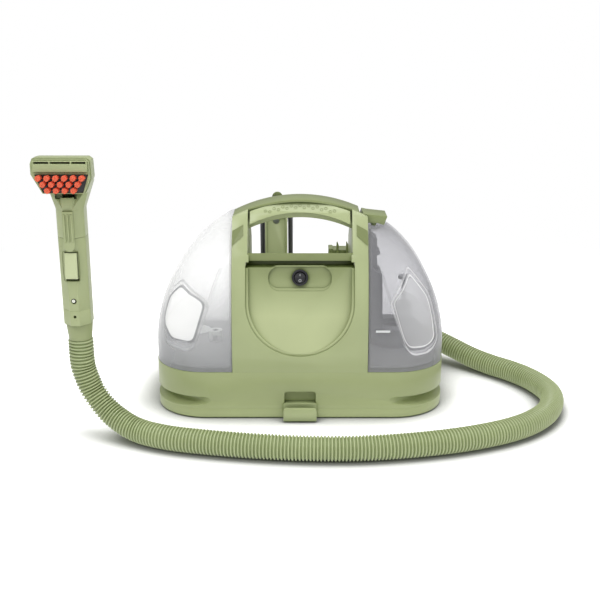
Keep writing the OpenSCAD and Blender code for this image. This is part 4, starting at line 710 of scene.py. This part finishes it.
dressed("release_tab", "lock_tab", 0.5, pale_plastic, "pale_green", body="tool_head")
dressed("brush_plate", "brush_block", 0.5, nylon, "dark_plastic", body="tool_head")
# a dark line of painted shade round the trigger's recess, and the pale eyelet below it
left, right, bend = WAND_X - LINE_HALF, WAND_X + LINE_HALF, LINE_BEND
corners = [mm(x, LINE_Y, z) for x, z in (
    (left + bend, LINE_LOW), (right - bend, LINE_LOW), (right, LINE_LOW + bend),
    (right, LINE_HIGH - bend), (right - bend, LINE_HIGH), (left + bend, LINE_HIGH),
    (left, LINE_HIGH - bend), (left, LINE_LOW + bend), (left + bend, LINE_LOW))]
line_profile = [(k / LINE_STEPS, mm(LINE_THICK)) for k in range(LINE_STEPS + 1)]
bm = tube_along(Route(corners, 8), line_profile, 8, Vector((0, 1, 0)))
piece("trigger_gap_shade", bm, moulding("gap_shade_abs", (112, 122, 74), shade_reach=0), "base",
      slot="body_green")
bm = bmesh.new()
bmesh.ops.create_cone(bm, cap_ends=True, segments=24, radius1=mm(EYELET_R), radius2=mm(EYELET_R),
                      depth=mm(1), matrix=at(*EYELET) @ tipped(90))
piece("eyelet", bm, moulding("eyelet_pp", (240, 243, 228), shade_reach=0), "base", slot="pale_green")
bm = bmesh.new()
for row in range(3):
    for k in range(6 - row):
        x, z = TUFT_X + row * ROW_IN + k * TUFT_GAP, TUFT_Z - row * ROW_DROP
        for hair in range(HAIRS):
            angle, away = hair * GOLDEN_TURN, BUNDLE_R * math.sqrt((hair + 0.5) / HAIRS)
            spot = at(x + away * math.cos(angle), TUFT_Y, z + away * math.sin(angle))
            bmesh.ops.create_cone(bm, cap_ends=True, segments=6, radius1=mm(0.5), radius2=mm(0.46),
                                  depth=mm(HAIR_LONG), matrix=spot @ tipped(90))
piece("red_tufts", bm, moulding("tuft_nylon", (255, 116, 82), rough=0.8, grain=0.1, shade_reach=0),
      "tool_head", "brush_tufts", slot="bristle_red")

# ---- Floor, backdrop and light ----
# A white sweep under soft studio lamps. It lights the machine as grey paper would, and shows white
# with the shadows the lamps cast there, deepened by a painted shadow near where something stands on
# it.
WHITE = (1, 1, 1, 1)
bm = bmesh.new()
bmesh.ops.create_grid(bm, x_segments=1, y_segments=1, size=6)
mesh = bpy.data.meshes.new("floor")
bm.to_mesh(mesh)
bm.free()
floor = bpy.data.objects.new("floor", mesh)
bpy.context.scene.collection.objects.link(floor)
paper = bpy.data.materials.new("paper")
paper.use_nodes = True
paper.node_tree.nodes.clear()
shade = Shade(paper.node_tree)
seen = shade.node("LightPath", out="Is Camera Ray")
grey = shade.node("BsdfDiffuse", {}, {"Color": (0.85, 0.85, 0.85, 1)})
faint = shade.node("Emission", {}, {"Color": WHITE, "Strength": 0.2})
lit = shade.node("AddShader", {}, {0: grey, 1: faint})
# painted shadow: the floor darkens where ambient occlusion finds the machine near
near = shade.node("AmbientOcclusion", {"samples": 16}, {"Distance": 0.06}, out=1)
painted_contact_shadow = near.clipped(0.42, 0.985).mix((0.35, 0.35, 0.35, 1), (1.6, 1.6, 1.6, 1))
bright = shade.node("BsdfDiffuse", {}, {"Color": painted_contact_shadow})
white = shade.node("Emission", {}, {"Color": WHITE, "Strength": 1.0})
spot = shade.node("TexCoord", out="Object")
far = shade.node("VectorMath", {"operation": "LENGTH"}, {0: spot}, out=1)
both = shade.node("MixShader", {}, {0: far.clipped(0.45, 1.0), 1: bright, 2: white})
shown = shade.node("MixShader", {}, {0: seen, 1: lit, 2: both})
shade.node("OutputMaterial", {}, {"Surface": shown})
floor.data.materials.append(paper)

world = bpy.data.worlds.new("studio")
bpy.context.scene.world = world
world.use_nodes = True
world.node_tree.nodes.clear()
shade = Shade(world.node_tree)
seen = shade.node("LightPath", out="Is Camera Ray")
up = shade.node("SeparateXYZ", {}, {"Vector": shade.node("TexCoord", out="Generated")}, out=2)
room = shade.node("Background", {}, {"Color": WHITE, "Strength": up.clipped(-0.1, 0.7, 0.25, 0.6)})
back = shade.node("Background", {}, {"Color": WHITE, "Strength": 1.0})
shown = shade.node("MixShader", {}, {0: seen, 1: room, 2: back})
shade.node("OutputWorld", {}, {"Surface": shown})

for name, place, aim, size, power in (
        ("key", (-0.8, -1.3, 1.7), (0, 0, 0.1), 0.6, 9.5),
        ("top", (0.1, -0.2, 1.9), (0, 0, 0.1), 1.0, 14),
        ("fill", (1.4, -1.0, 0.9), (0, 0, 0.15), 0.8, 3.5),
        ("front", (0.1, -1.6, 0.55), (0, 0, 0.15), 0.6, 0.8)):
    lamp = bpy.data.lights.new(name, "AREA")
    lamp.shape = "SQUARE"
    lamp.size = size
    lamp.energy = power
    holder = bpy.data.objects.new(name, lamp)
    holder.location = place
    holder.rotation_euler = (Vector(aim) - Vector(place)).to_track_quat("-Z", "Y").to_euler()
    bpy.context.scene.collection.objects.link(holder)

bpy.context.scene.view_settings.view_transform = "Standard"
